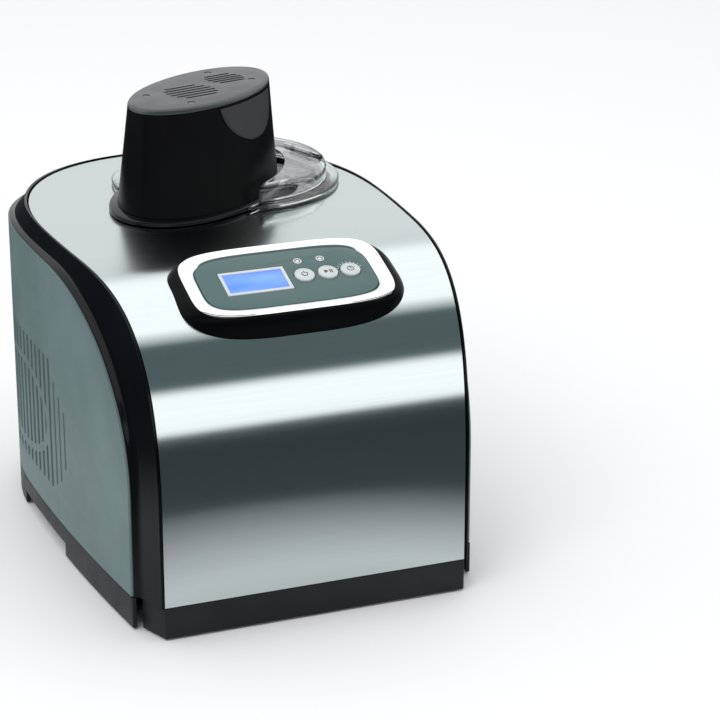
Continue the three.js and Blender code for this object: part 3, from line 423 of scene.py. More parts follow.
def smooth(thing, angle=32):
    work = bmesh.new()
    work.from_mesh(thing.data)
    limit = math.radians(angle)
    for face in work.faces:
        face.smooth = True
    for edge in work.edges:
        edge.smooth = len(edge.link_faces) == 2 and edge.calc_face_angle(0) < limit
    work.to_mesh(thing.data)
    work.free()
    return thing


def turn(thing, matrix):
    thing.data.transform(matrix)
    return thing


def place(thing, body, slot, material=None, replaces=(), angle=32):
    """Millimetres to the frame's metres; then the piece gets its finish, its body and what it stands for."""
    smooth(thing, angle)
    thing.data.transform(Matrix.Scale(MM, 4) @ Matrix.Translation((0, FRONT_Y, 0)))
    thing.data.materials.clear()
    thing.data.materials.append(material or MATERIALS[slot])
    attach(thing, body)
    if replaces:
        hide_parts(*replaces)
    return thing


IN_PANEL = Matrix.Translation(PANEL_CENTRE) @ Matrix.Rotation(PANEL_TILT, 4, "X")
IN_BOWL = Matrix.Translation(BOWL_CENTRE)
IN_TOWER = Matrix.Translation(TOWER_CENTRE) @ Matrix.Rotation(TOWER_ANGLE, 4, "Z")
IN_CHORD = IN_BOWL @ Matrix.Rotation(CHORD_ANGLE, 4, "Z")


def loft(name, rings, closed=False, caps=True):
    """Skin over rings of matching points."""
    count = len(rings[0])
    vertices = [p for ring in rings for p in ring]
    faces = []
    total = len(rings)
    for r in range(total if closed else total - 1):
        following = (r + 1) % total
        for i in range(count):
            j = (i + 1) % count
            faces.append((r * count + i, r * count + j, following * count + j, following * count + i))
    if caps and not closed:
        faces.append(tuple(range(count - 1, -1, -1)))
        faces.append(tuple((total - 1) * count + i for i in range(count)))
    return mesh_object(name, vertices, faces)


def stack(name, outlines, heights):
    return loft(name, [[(x, y, z) for x, y in outline] for outline, z in zip(outlines, heights)])


def prism(name, outline, low, high):
    return stack(name, [outline, outline], [low, high])


def across(name, outline, left, right):
    """An outline in (y, z) extruded in x."""
    return loft(name, [[(x, y, z) for y, z in outline] for x in (left, right)])


def box(name, x0, x1, y0, y1, z0, z1):
    return prism(name, [(x0, y0), (x1, y0), (x1, y1), (x0, y1)], z0, z1)


def rounded_profile(profile, radii, steps=5):
    """A profile with its corners rounded: radii maps a corner's index to its radius."""
    made = []
    count = len(profile)
    for i, point in enumerate(profile):
        radius = radii.get(i)
        here = np.array(point, float)
        if not radius:
            made.append(tuple(here))
            continue
        before = np.array(profile[i - 1], float) - here
        after = np.array(profile[(i + 1) % count], float) - here
        reach_before = min(radius, np.linalg.norm(before) * 0.49)
        reach_after = min(radius, np.linalg.norm(after) * 0.49)
        start = here + before / np.linalg.norm(before) * reach_before
        end = here + after / np.linalg.norm(after) * reach_after
        for k in range(steps + 1):
            t = k / steps
            made.append(tuple((1 - t) ** 2 * start + 2 * t * (1 - t) * here + t * t * end))
    return made


def rounded_rectangle(x0, x1, y0, y1, radius, steps):
    corners = [(x0, y0), (x1, y0), (x1, y1), (x0, y1)]
    return rounded_profile(corners, dict.fromkeys(range(4), radius), steps)


def arc(radius, degrees, z):
    return [(radius * math.cos(math.radians(a)), radius * math.sin(math.radians(a)), z) for a in degrees]


def lathe(name, profile, segments=96, closed=False):
    """Turned about the vertical axis; an open profile starts and ends on the axis."""
    vertices = []
    faces = []
    count = len(profile)
    for s in range(segments):
        angle = 2 * math.pi * s / segments
        vertices.extend((r * math.cos(angle), r * math.sin(angle), z) for r, z in profile)
    for s in range(segments):
        following = (s + 1) % segments
        for i in range(count if closed else count - 1):
            j = (i + 1) % count
            faces.append((s * count + i, s * count + j, following * count + j, following * count + i))
    return mesh_object(name, vertices, faces)


def disc(name, radius, low, high, segments=64):
    outline = [(radius * math.cos(2 * math.pi * i / segments), radius * math.sin(2 * math.pi * i / segments))
               for i in range(segments)]
    return prism(name, outline, low, high)


def tube(name, points, radius, sides=12, closed=False):
    """A round rod along a run of points."""
    path = [Vector(p) for p in points]
    total = len(path)
    rings = []
    normal = None
    for i, here in enumerate(path):
        ahead = path[(i + 1) % total] if closed or i + 1 < total else here
        behind = path[i - 1] if closed or i > 0 else here
        tangent = (ahead - behind).normalized()
        if normal is None:
            guide = Vector((0, 0, 1)) if abs(tangent.z) < 0.9 else Vector((1, 0, 0))
            normal = tangent.cross(guide).normalized()
        normal = (normal - tangent * normal.dot(tangent)).normalized()
        side = tangent.cross(normal)
        rings.append([
            tuple(here + radius * (math.cos(a) * normal + math.sin(a) * side))
            for a in (2 * math.pi * k / sides for k in range(sides))
        ])
    return loft(name, rings, closed)


def superellipse(half, power, count):
    outline = []
    for i in range(count):
        angle = 2 * math.pi * i / count
        c, s = math.cos(angle), math.sin(angle)
        outline.append((half[0] * math.copysign(abs(c) ** (2 / power), c),
                        half[1] * math.copysign(abs(s) ** (2 / power), s)))
    return outline


def on_ellipse(size, grow, angle):
    c, s = math.cos(size["turn"]), math.sin(size["turn"])
    x = (size["a"] + grow) * math.cos(angle)
    y = (size["b"] + grow) * math.sin(angle)
    return size["x"] + x * c - y * s, size["y"] + x * s + y * c


def ellipse(size, grow, count=96):
    return [tuple(on_ellipse(size, grow, 2 * math.pi * i / count)) for i in range(count)]


# ---------------------------------------------------------------- body outlines
def rounded_back(plan, angle):
    power = 2 / plan["back_power"]
    return np.array((plan["widest"] * max(math.cos(angle), 0) ** power,
                     plan["widest_y"] + (plan["back"] - plan["widest_y"]) * math.sin(angle) ** power))


def width_at(plan, y):
    if y <= plan["widest_y"]:
        share = (plan["widest_y"] - y) / plan["widest_y"]
        return plan["widest"] - (plan["widest"] - plan["front"]) * share ** plan["front_power"]
    reach = min((y - plan["widest_y"]) / (plan["back"] - plan["widest_y"]), 1)
    return plan["widest"] * (1 - reach ** plan["back_power"]) ** (1 / plan["back_power"])


def plan_edge(plan, front_steps=24, back_steps=36):
    edge = [np.array((width_at(plan, plan["widest_y"] * i / front_steps), plan["widest_y"] * i / front_steps))
            for i in range(front_steps)]
    edge += [rounded_back(plan, math.pi / 2 * j / back_steps) for j in range(back_steps)]
    edge.append(np.array((0.0, plan["back"])))
    return edge


def inset_edge(edge, inset):
    made = []
    for i, point in enumerate(edge):
        along = edge[min(i + 1, len(edge) - 1)] - edge[max(i - 1, 0)]
        along = along / np.linalg.norm(along)
        moved = point + np.array((-along[1], along[0])) * inset
        if i == len(edge) - 1:
            moved = np.array((0.0, point[1] - inset))
        made.append(np.array((max(moved[0], 0), max(moved[1], 0))))
    return made


def plan_outline(plan, inset=0.0):
    right = inset_edge(plan_edge(plan), inset)
    return [tuple(p) for p in right] + [(-x, y) for x, y in reversed(right[:-1])]


def curve_point(curve, t):
    a, b, c, d = curve
    return (1 - t) ** 3 * a + 3 * (1 - t) ** 2 * t * b + 3 * (1 - t) * t * t * c + t ** 3 * d


def curve_normal(curve, t):
    """Unit vector pointing into the machine, in (y, z)."""
    a, b, c, d = curve
    along = 3 * (1 - t) ** 2 * (b - a) + 6 * (1 - t) * t * (c - b) + 3 * t * t * (d - c)
    along = along / np.linalg.norm(along)
    return np.array((along[1], -along[0]))


def region_under(curve, inset, bottom, back=600.0, steps=48):
    shares = [i / steps for i in range(steps + 1)]
    edge = [tuple(curve_point(curve, t) + curve_normal(curve, t) * inset) for t in shares]
    return across("tool", [(edge[0][0], bottom), *edge, (back, edge[-1][1]), (back, bottom)], -FAR, FAR)


def side_wall(name, low, high, thickness=SHELL):
    wall = prism(name, plan_outline(SIDE_PLAN), low, high)
    return cut(wall, prism("tool", plan_outline(SIDE_PLAN, thickness), low - 1, high + 1))


# ---------------------------------------------------------------- the body
def make_steel():
    """One sheet, folded over the arch: a fine grid clipped to the plan outline, then thickened."""
    curve_steps = 64
    top_steps = 56
    across_steps = 48
    curve = [(curve_point(ARCH, 0) * np.array((1, 0)) + np.array((0, BODY_BOTTOM)))]
    curve += [np.array((0.0, BODY_BOTTOM + (ARCH[0][1] - BODY_BOTTOM) * i / 12)) for i in range(1, 12)]
    curve += [curve_point(ARCH, i / curve_steps) for i in range(curve_steps + 1)]
    start = ARCH[3][0]
    end = STEEL_PLAN["back"] - 0.4
    curve += [np.array((start + (end - start) * math.sin(math.pi / 2 * i / top_steps), TOP_Z))
              for i in range(1, top_steps + 1)]
    rows = []
    for y, z in curve:
        half = width_at(STEEL_PLAN, y)
        rows.append([(half * (2 * k / across_steps - 1), y, z) for k in range(across_steps + 1)])
    vertices = [p for row in rows for p in row]
    wide = across_steps + 1
    faces = [(r * wide + k, r * wide + k + 1, (r + 1) * wide + k + 1, (r + 1) * wide + k)
             for r in range(len(rows) - 1) for k in range(across_steps)]
    steel = mesh_object("steel_skin", vertices, faces)
    thicken = steel.modifiers.new("sheet", "SOLIDIFY")
    thicken.thickness = STEEL
    thicken.offset = -1
    apply_modifiers(steel)
    if max(v.co.z for v in steel.data.vertices) > TOP_Z + 0.5:
        raise SystemExit("the steel sheet thickened the wrong way")
    cut(steel, turn(disc("tool", WELL_HOLE_RADIUS, 200, 260, 128), IN_BOWL))
    cut(steel, turn(prism("tool", superellipse((60, 27.5), 8, 48), -40, 20), IN_PANEL))
    place(steel, "base", "brushed_steel", replaces=["steel_cover"])


def frame_stations():
    """Stations along the cheek. Each places a share of the way out, a share of the way down and a depth."""
    stations = []

    def along(on_arch, inward, on_side):
        def at(out_share, down_share, depth):
            y, z = (on_arch + inward * depth) * (1 - down_share) + on_side * down_share
            steel_x = width_at(STEEL_PLAN, on_arch[0])
            return (steel_x + out_share * (width_at(SIDE_PLAN, max(y, 0)) - steel_x), y, z)
        return at

    forward = np.array((1.0, 0.0))
    down = np.array((0.0, -1.0))
    for i in range(8):
        share = i / 8
        on_arch = np.array((0.0, BODY_BOTTOM + (ARCH[0][1] - BODY_BOTTOM) * share))
        on_side = np.array((SIDE_EDGE[0][0], BODY_BOTTOM + (SIDE_EDGE[0][1] - BODY_BOTTOM) * share))
        stations.append(along(on_arch, forward, on_side))
    for i in range(49):
        t = i / 48
        stations.append(along(curve_point(ARCH, t), curve_normal(ARCH, t), curve_point(SIDE_EDGE, t)))
    arch_end = np.array((STEEL_PLAN["widest_y"], TOP_Z))
    side_end = np.array((SIDE_PLAN["widest_y"], SIDE_TOP_Z))
    for i in range(1, 9):
        share = i / 8
        on_arch = ARCH[3] * (1 - share) + arch_end * share
        stations.append(along(on_arch, down, SIDE_EDGE[3] * (1 - share) + side_end * share))

    def behind(angle):
        def at(out_share, down_share, depth):
            on_steel = rounded_back(STEEL_PLAN, angle)
            x, y = on_steel * (1 - out_share) + rounded_back(SIDE_PLAN, angle) * out_share
            return (max(x, 0.2), y, (TOP_Z - depth) * (1 - down_share) + SIDE_TOP_Z * down_share)
        return at

    stations += [behind(math.radians(89.9) * i / 40) for i in range(1, 41)]
    return stations


def make_cheeks():
    # (share of the way out, share of the way down, depth): a lip, a broad slope and a bevel along the side.
    section = [(0.08, 0, -0.9), (0.2, 0, -0.9), (0.24, 0, 0.9), (0.62, 0.74, 0.3), (0.7, 0.86, 0),
               (0.91, 0.96, 0), (0.91, 1, 0), (0.45, 1, 0), (0.08, 0, 5)]
    radii = {0: 0.4, 1: 0.6, 2: 1.0, 3: 1.0, 4: 1.6, 5: 0.8}
    rings = [rounded_profile([at(*point) for point in section], radii, 4) for at in frame_stations()]
    right = loft("cheek_right", rings)
    left = turn(copy_of(right, "cheek_left"), Matrix.Scale(-1, 4, (1, 0, 0)))
    tidy_normals(left)
    place(right, "base", "gloss_black", replaces=["side_frame_right"])
    place(left, "base", "gloss_black", replaces=["side_frame_left"])


def vent_tools(sign):
    """Tall slots, broken by an oval band."""
    low, high = sorted((sign * 80, sign * FAR))
    first = VENT_Y - (VENT_PITCH * (VENT_SLOTS - 1) + VENT_SLOT_WIDTH) / 2
    slots = []
    for i in range(VENT_SLOTS):
        y = first + VENT_PITCH * i
        outline = rounded_rectangle(y, y + VENT_SLOT_WIDTH, VENT_LOW, VENT_HIGH, VENT_SLOT_WIDTH / 2, 4)
        slots.append(across("tool", outline, low, high))
    ovals = []
    for half_y, half_z in VENT_BAND:
        outline = [(VENT_Y + y, VENT_Z + z) for y, z in superellipse((half_y, half_z), 2, 96)]
        ovals.append(across("tool", outline, -FAR, FAR))
    return cut(merge("tool", slots), cut(*ovals))


def merge(name, things):
    """Several separate bodies as one object."""
    work = bmesh.new()
    for thing in things:
        work.from_mesh(thing.data)
        bpy.data.objects.remove(thing)
    mesh = bpy.data.meshes.new(name)
    work.to_mesh(mesh)
    work.free()
    made = bpy.data.objects.new(name, mesh)
    scene.collection.objects.link(made)
    return made


def make_sides():
    for side, sign in (("left", -1), ("right", 1)):
        wall = side_wall(f"side_skin_{side}", BODY_BOTTOM, TOP_Z)
        low, high = sorted((sign * 1.0, sign * FAR))
        keep(wall, region_under(SIDE_EDGE, PANEL_SEAM, BODY_BOTTOM))
        keep(wall, box("tool", low, high, 0, REAR_SPLIT_Y, 0, 300))
        cut(wall, vent_tools(sign))
        # Shallow blind grooves ahead of the first open slot fade the grille out.
        grooves = []
        for y, bottom, top in ((165.5, 52, 130), (155, 58, 122), (144.5, 71, 114)):
            x = width_at(SIDE_PLAN, y)
            low, high = sorted((sign * (x - 0.9), sign * (x + 5)))
            grooves.append(box("tool", low, high, y, y + 3, bottom, top))
        cut(wall, merge("tool", grooves))
        bevel(wall, 0.45, 2)
        place(wall, "base", "silver_paint", replaces=[f"side_panel_{side}"])


def make_rear():
    wall = side_wall("rear_skin", RAISED_HEM, TOP_Z)
    keep(wall, region_under(SIDE_EDGE, PANEL_SEAM, 0))
    keep(wall, box("tool", -FAR, FAR, REAR_SPLIT_Y + GAP, 500, 0, 300))
    cut(wall, merge("tool", [box("tool", -42 + 8 * i, -38.4 + 8 * i, 300, 400, 110, 180) for i in range(11)]))
    cut(wall, box("tool", -70, -38, 300, 400, 40, 66))
    bevel(wall, 0.45, 2)
    place(wall, "base", "satin_black", replaces=["rear_cover"])


def make_skirts():
    heel_x, heel_y = CORNER_HEEL
    front_x = STEEL_PLAN["front"]
    outer = [(-heel_x, heel_y), (-front_x, 0), (front_x, 0), (heel_x, heel_y)]
    inner = [(heel_x - SHELL, heel_y), (front_x - SHELL, SHELL)]
    inner += [(-x, y) for x, y in reversed(inner)]
    front = prism("skirt_front", outer + inner, SKIRT_BOTTOM, SKIRT_TOP)
    bevel(front, 0.6, 3)
    place(front, "base", "skirt_black", replaces=["front_skirt"])
    for side, sign in (("left", -1), ("right", 1)):
        wall = side_wall(f"skirt_{side}", SKIRT_BOTTOM, SKIRT_TOP)
        low, high = sorted((sign * 1.0, sign * FAR))
        keep(wall, box("tool", low, high, heel_y + 1.4, REAR_SPLIT_Y, 0, 60))
        for start, end in ((155, 258), (302, 500)):
            cut(wall, box("tool", -FAR, FAR, start, end, 0, RAISED_HEM))
        bevel(wall, 0.6, 3)
        place(wall, "base", "skirt_black", replaces=[f"side_skirt_{side}"])


def make_feet():
    for name in ("front_left", "front_right", "rear_left", "rear_right"):
        low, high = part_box(f"foot_{name}")
        radius = (high.x - low.x) / 2 / MM
        height = high.z / MM
        profile = rounded_profile(
            [(0, 0), (radius - 2.5, 0), (radius - 2.5, 0.6), (radius - 1.5, 0.6), (radius - 1.5, 0),
             (radius, 0), (radius, height), (0, height)], {5: 1.2, 6: 0.8}, 4)
        foot = lathe(f"rubber_foot_{name}", profile, 48)
        centre = (low + high) / 2 / MM
        turn(foot, Matrix.Translation((centre.x, centre.y - FRONT_Y, 0)))
        place(foot, "base", "rubber", replaces=[f"foot_{name}"])


# ---------------------------------------------------------------- control panel
def make_housing():
    count = 96
    levels = [(73.4, 38.2, -0.6), (74.4, 38.8, -0.9), (76.2, 39.3, -1.9), (78, 39.8, -3.5),
              (79.3, 40.2, -5.2), (80.2, 40.5, -7.4), (81, 40.8, -30)]
    outlines = [superellipse(level[:2], PANEL_POWER - 1, count) for level in levels]
    housing = turn(stack("panel_body", outlines, [level[2] for level in levels]), IN_PANEL)
    cut(housing, region_under(ARCH, -GAP, 0))
    recess = (RING_HALF[0] + GAP, RING_HALF[1] + GAP)
    cut(housing, turn(prism("tool", superellipse(recess, PANEL_POWER, 120), -3.6, 10), IN_PANEL))
    cut(housing, turn(prism("tool", superellipse((57, 24.5), 8, 48), -40, 10), IN_PANEL))
    place(housing, "base", "satin_black", replaces=["panel_housing"], angle=28)


def make_ring():
    """The chrome surround: a rounded section carried round the panel's outline."""
    profile = [(0.0, -3.2), (0.0, -0.9), (0.25, -0.1), (0.75, 0.4), (1.5, 0.6), (5.0, 0.55), (7.6, 0.1),
               (9.2, -0.7), (9.95, -1.5), (10.0, -3.2)]
    outer = superellipse(RING_HALF, PANEL_POWER, 144)
    inner = superellipse((FASCIA_HALF[0] + GAP, FASCIA_HALF[1] + GAP), PANEL_POWER, 144)
    rings = []
    for (ox, oy), (ix, iy) in zip(outer, inner):
        rings.append([(ox + (ix - ox) * s / 10, oy + (iy - oy) * s / 10, z) for s, z in profile])
    ring = turn(loft("chrome_surround", rings, closed=True), IN_PANEL)
    place(ring, "base", "chrome", replaces=["chrome_ring"])


def flat_ring(name, outer, inner, low, high, segments=64):
    return lathe(name, [(inner, low), (outer, low), (outer, high), (inner, high)], segments, closed=True)


def at_panel(x, y=0.0):
    return IN_PANEL @ Matrix.Translation((x, y, 0))


def make_fascia():
    face = prism("fascia_plate", superellipse(FASCIA_HALF, PANEL_POWER, 120), -3, -1)
    half = (LCD_HALF[0] + GAP, LCD_HALF[1] + GAP)
    cut(face, box("tool", LCD_CENTRE_X - half[0], LCD_CENTRE_X + half[0], -half[1], half[1], -9, 9))
    for x in BUTTON_X:
        cut(face, turn(disc("tool", BUTTON_RADIUS + GAP, -9, 9), Matrix.Translation((x, 0, 0))))
    for x in LED_X:
        cut(face, turn(disc("tool", LED_RADIUS + GAP, -9, 9, 32), Matrix.Translation((x, LED_Y, 0))))
    bevel(face, 0.2, 2)
    place(turn(face, IN_PANEL), "base", "fascia_grey", replaces=["panel_fascia"])

    border = 2.4
    x0, x1 = LCD_CENTRE_X - LCD_HALF[0], LCD_CENTRE_X + LCD_HALF[0]
    surround = box("lcd_bezel", x0, x1, -LCD_HALF[1], LCD_HALF[1], -3, -0.6)
    cut(surround, box("tool", x0 + border, x1 - border, border - LCD_HALF[1], LCD_HALF[1] - border, -9, 9))
    bevel(surround, 0.3, 3)
    place(turn(surround, IN_PANEL), "base", "silver_print", replaces=["lcd_frame"])
    inset = border + 0.3
    window = box("lcd_glass", x0 + inset, x1 - inset, inset - LCD_HALF[1], LCD_HALF[1] - inset, -4.5, -1)
    bevel(window, 0.2, 2)
    place(turn(window, IN_PANEL), "base", "lcd_blue", replaces=["lcd_window"])

    for name, x in zip(("cooling", "mixing"), LED_X):
        lens = [(0, -4.5), (LED_RADIUS, -4.5), (LED_RADIUS, -0.9), (0, -0.5)]
        dome = lathe(f"{name}_lens", rounded_profile(lens, {2: 0.6}), 32)
        place(turn(dome, at_panel(x, LED_Y)), "base", "white_plastic", replaces=[f"{name}_led"])
        halo = flat_ring(f"{name}_lens_ring", 2.9, 2.1, -0.98, -0.86)
        place(turn(halo, at_panel(x, LED_Y)), "base", "silver_print", MARK_WHITE)


def ticks(name, centre_x, radius, count, start, end, length=1.3, width=0.5):
    """Printed tick marks on an arc, as thin raised bars."""
    bars = []
    for i in range(count):
        angle = math.radians(start + (end - start) * i / (count - 1))
        bar = box("tool", radius, radius + length, -width / 2, width / 2, -0.98, -0.88)
        bars.append(turn(bar, Matrix.Translation((centre_x, 0, 0)) @ Matrix.Rotation(angle, 4, "Z")))
    return turn(merge(name, bars), IN_PANEL)


def make_buttons():
    r = BUTTON_RADIUS
    profile = rounded_profile(
        [(0, -6), (r - 1.4, -6), (r - 1.4, -4), (r, -4), (r, -0.1), (r - 0.55, 0.3), (r - 1.1, 0.3),
         (r - 1.5, -0.1), (r - 2.2, 0.15), (0, 0.45)], {4: 0.4, 5: 0.3, 6: 0.3, 7: 0.4}, 4)
    for name, x in zip(("power", "start", "timer"), BUTTON_X):
        cap = lathe(f"{name}_cap", profile, 72)
        place(turn(cap, at_panel(x)), f"{name}_button", "silver_print", replaces=[f"{name}_button"])
    top = 0.42
    stroke = box("tool", -0.28, 0.28, 0.6, 2.9, top - 0.2, top + 0.2)
    power = join(tube("power_mark", arc(2.1, range(50, -231, -10), top), 0.28, 8), stroke)
    start = merge("start_mark", [
        prism("tool", [(-2.6, -1.8), (0.3, 0), (-2.6, 1.8)], top - 0.2, top + 0.1),
        box("tool", 1.0, 1.7, -1.8, 1.8, top - 0.25, top + 0.05),
        box("tool", 2.3, 3.0, -1.8, 1.8, top - 0.3, top),
    ])
    dial = arc(2.3, range(0, 360, 15), top - 0.08)
    timer = merge("timer_mark", [
        tube("tool", dial, 0.25, 8, closed=True),
        tube("tool", [(0, 1.5, top), (0, 0, top), (1.1, -0.4, top)], 0.25, 8),
    ])
    for mark, name, x in zip((power, start, timer), ("power", "start", "timer"), BUTTON_X):
        place(turn(mark, at_panel(x)), f"{name}_button", "silver_print", MARK_DARK)
    place(ticks("timer_ticks", BUTTON_X[2], r + 1.2, 9, 20, 160), "base", "silver_print", MARK_WHITE)


# ---------------------------------------------------------------- lid, flap and tower
def tower_prism(size, grow, low, high):
    return turn(prism("tool", ellipse(size, grow), low, high), IN_TOWER)


def flap_zone(grow):
    reach = 200
    zone = turn(box("tool", -reach, CHORD_DISTANCE - 0.5 + grow, -reach, 5 + grow, 190, 310), IN_CHORD)
    return keep(zone, turn(box("tool", -reach, reach, -reach, grow, 180, 320), IN_TOWER))


def dome_shell(name, bottom):
    r, top, wall = DOME_RADIUS, DOME_TOP_Z, DOME_WALL
    profile = rounded_profile(
        [(0, top), (r - 0.6, top - 0.2), (r, bottom), (r - wall, bottom), (r - wall - 0.6, top - wall),
         (0, top - wall)],
        {1: 5.5, 4: 4.0}, 8)
    shell = turn(lathe(name, profile, 128), IN_BOWL)
    return cut(shell, tower_prism(TOWER_COLLAR, 0.8, 200, 300))


def knuckle(name, start, end, radius, segments=32):
    barrel = turn(disc(name, radius, start, end, segments), Matrix.Rotation(-math.pi / 2, 4, "X"))
    return turn(barrel, IN_CHORD @ Matrix.Translation((CHORD_DISTANCE, 0, HINGE_Z)))


def knuckle_web(start, end, side):
    x0, x1 = (0, 3) if side > 0 else (-3, 0)
    web = box("tool", CHORD_DISTANCE + x0, CHORD_DISTANCE + x1, start, end, DOME_TOP_Z - 1, HINGE_Z + 0.4)
    return turn(web, IN_CHORD)


def make_lid():
    r = PLUG_RADIUS
    top = LID_Z + LID_THICK
    floor_top = LID_FLOOR_Z + LID_THICK
    profile = rounded_profile(
        [(0, LID_FLOOR_Z), (r, LID_FLOOR_Z), (r, LID_Z), (LID_RADIUS, LID_Z), (LID_RADIUS, top),
         (r - LID_THICK, top), (r - LID_THICK, floor_top), (0, floor_top)],
        {1: 1.5, 2: 0.6, 3: 0.4, 4: 1.2, 5: 0.6, 6: 1.2}, 5)
    lid = turn(lathe("lid_clear", profile, 128), IN_BOWL)
    cut(lid, turn(disc("tool", 11, 200, 240), IN_BOWL))
    hole = turn(disc("tool", 54, 200, 240, 96), IN_BOWL)
    keep(hole, flap_zone(-4))
    keep(hole, turn(box("tool", -FAR, FAR, -FAR, -SHAFT_CLEARANCE, 190, 310), IN_TOWER))
    cut(lid, hole)
    join(lid, cut(dome_shell("tool", LID_Z + 1), flap_zone(0.9)))
    cut(lid, tower_prism(TOWER_COLLAR, 0.8, COLLAR_Z - GAP, TOWER_BASE_Z + GAP))
    for start, end in LID_KNUCKLES:
        join(lid, knuckle_web(start, end, 1))
        join(lid, knuckle("tool", start, end, BARREL_RADIUS))
    cut(lid, knuckle("tool", -60, 6, PIN_RADIUS + GAP))
    place(lid, "lid", "clear", replaces=["clear_lid"], angle=30)

    flap = keep(dome_shell("flap_clear", TOWER_BASE_Z), flap_zone(0))
    join(flap, knuckle_web(*FLAP_KNUCKLE, -1))
    join(flap, knuckle("tool", *FLAP_KNUCKLE, BARREL_RADIUS))
    cut(flap, knuckle("tool", -60, 6, PIN_RADIUS + GAP))
    place(flap, "flap", "clear", replaces=["filling_flap"], angle=30)

    pin = bevel(knuckle("hinge_rod", -43.6, -3.4, PIN_RADIUS, 24), 0.2, 2)
    place(pin, "lid", "clear", replaces=["flap_hinge_pin"])


def tower_size(z):
    share = (z - TOWER_BASE_Z) / (TOWER_TOP_Z - TOWER_BASE_Z)
    return {key: TOWER_BASE[key] + (TOWER_TOP[key] - TOWER_BASE[key]) * share for key in TOWER_BASE}


def tower_surface(x, z, side, grow):
    """The point of the tower's wall at a given x and height, on its front (-1) or back (1)."""
    size = tower_size(z)
    reach_x = size["a"] * math.cos(size["turn"])
    reach_y = size["b"] * math.sin(size["turn"])
    share = min(max((x - size["x"]) / math.hypot(reach_x, reach_y), -1), 1)
    angle = side * math.acos(share) - math.atan2(reach_y, reach_x)
    return (*on_ellipse(size, grow, angle), z)


def oval_stack(name, levels):
    """Levels of (oval, how far it grows, height), skinned over."""
    outlines = [ellipse(size, grow, OVAL_STEPS) for size, grow, _ in levels]
    return stack(name, outlines, [z for _, _, z in levels])


def make_tower():
    base = TOWER_BASE_Z - GAP
    levels = [(-0.5, COLLAR_Z), (0, COLLAR_Z + 0.5), (0, base - 1.4), (-0.4, base - 0.5), (-1.4, base)]
    collar = oval_stack("tower_collar", [(TOWER_COLLAR, grow, z) for grow, z in levels])
    cut(collar, turn(disc("tool", 13, 200, 260), IN_TOWER.inverted() @ IN_BOWL))
    place(turn(collar, IN_TOWER), "motor_unit", "gloss_black", replaces=["tower_base"])

    heights = [TOWER_BASE_Z + (TOWER_WALL_TOP_Z - TOWER_BASE_Z) * i / 16 for i in range(17)]
    shell = oval_stack("tower_shell", [(tower_size(z), 0, z) for z in heights])
    hollow = (TOWER_BASE_Z - 2, TOWER_WALL_TOP_Z + 2)
    cut(shell, oval_stack("tool", [(tower_size(z), -TOWER_WALL, z) for z in hollow]))
    place(turn(shell, IN_TOWER), "motor_unit", "satin_black", replaces=["motor_housing"])

    on_cap = Matrix.Translation((TOWER_TOP["x"], TOWER_TOP["y"], 0))
    on_cap @= Matrix.Rotation(TOWER_TOP["turn"], 4, "Z")
    low = TOWER_WALL_TOP_Z + GAP
    edge = [(0.0, low), (-0.05, TOWER_TOP_Z - 2.4), (-0.35, TOWER_TOP_Z - 1.4), (-1.0, TOWER_TOP_Z - 0.6),
            (-1.9, TOWER_TOP_Z - 0.15), (-3.0, TOWER_TOP_Z)]
    cap = oval_stack("tower_lid", [(tower_size(z), grow, z) for grow, z in edge])
    for x, y, radius, count in CAP_VENTS:
        pitch = 2 * radius / (count + 1)
        slots = []
        for i in range(count):
            offset = -radius + pitch * (i + 1)
            half = math.sqrt(radius * radius - offset * offset) - 0.6
            end = SLOT_WIDTH / 2
            slot = rounded_rectangle(-half, half, offset - end, offset + end, end, SLOT_STEPS)
            aim = on_cap @ Matrix.Translation((x, y, 0)) @ Matrix.Rotation(-TOWER_ANGLE / 2, 4, "Z")
            slots.append(turn(prism("tool", slot, 290, 320), aim))
        cut(cap, merge("tool", slots))
    seat = TOWER_TOP_Z - 1.6
    for i, (right, back) in enumerate(((-1, -1), (1, -1), (1, 1), (-1, 1)), 1):
        here = on_cap @ Matrix.Translation((right * CAP_SCREW_AT[0], back * CAP_SCREW_AT[1], 0))
        cut(cap, turn(disc("tool", SCREW_HEAD + GAP, TOWER_TOP_Z - 2, 320, 32), here))
        cut(cap, turn(disc("tool", SCREW_SHANK + GAP, 290, 320, 24), here))
        profile = rounded_profile(
            [(0, 296), (SCREW_SHANK, 296), (SCREW_SHANK, seat), (SCREW_HEAD, seat),
             (SCREW_HEAD, TOWER_TOP_Z - 0.5), (0, TOWER_TOP_Z - 0.15)], {4: 0.6}, 4)
        screw = lathe(f"screw_{i}", profile, 32)
        for turned in (0.3, 0.3 + math.pi / 2):
            slot = box("tool", -1.3, 1.3, -0.28, 0.28, TOWER_TOP_Z - 1, TOWER_TOP_Z + 1)
            cut(screw, turn(slot, Matrix.Rotation(turned, 4, "Z")))
        place(turn(screw, IN_TOWER @ here), "motor_unit", "zinc", replaces=[f"cap_screw_{i}"])
    place(turn(cap, IN_TOWER), "motor_unit", "satin_black", CAP_BLACK_PAINTED_SKY_SHEEN, replaces=["tower_cap"])


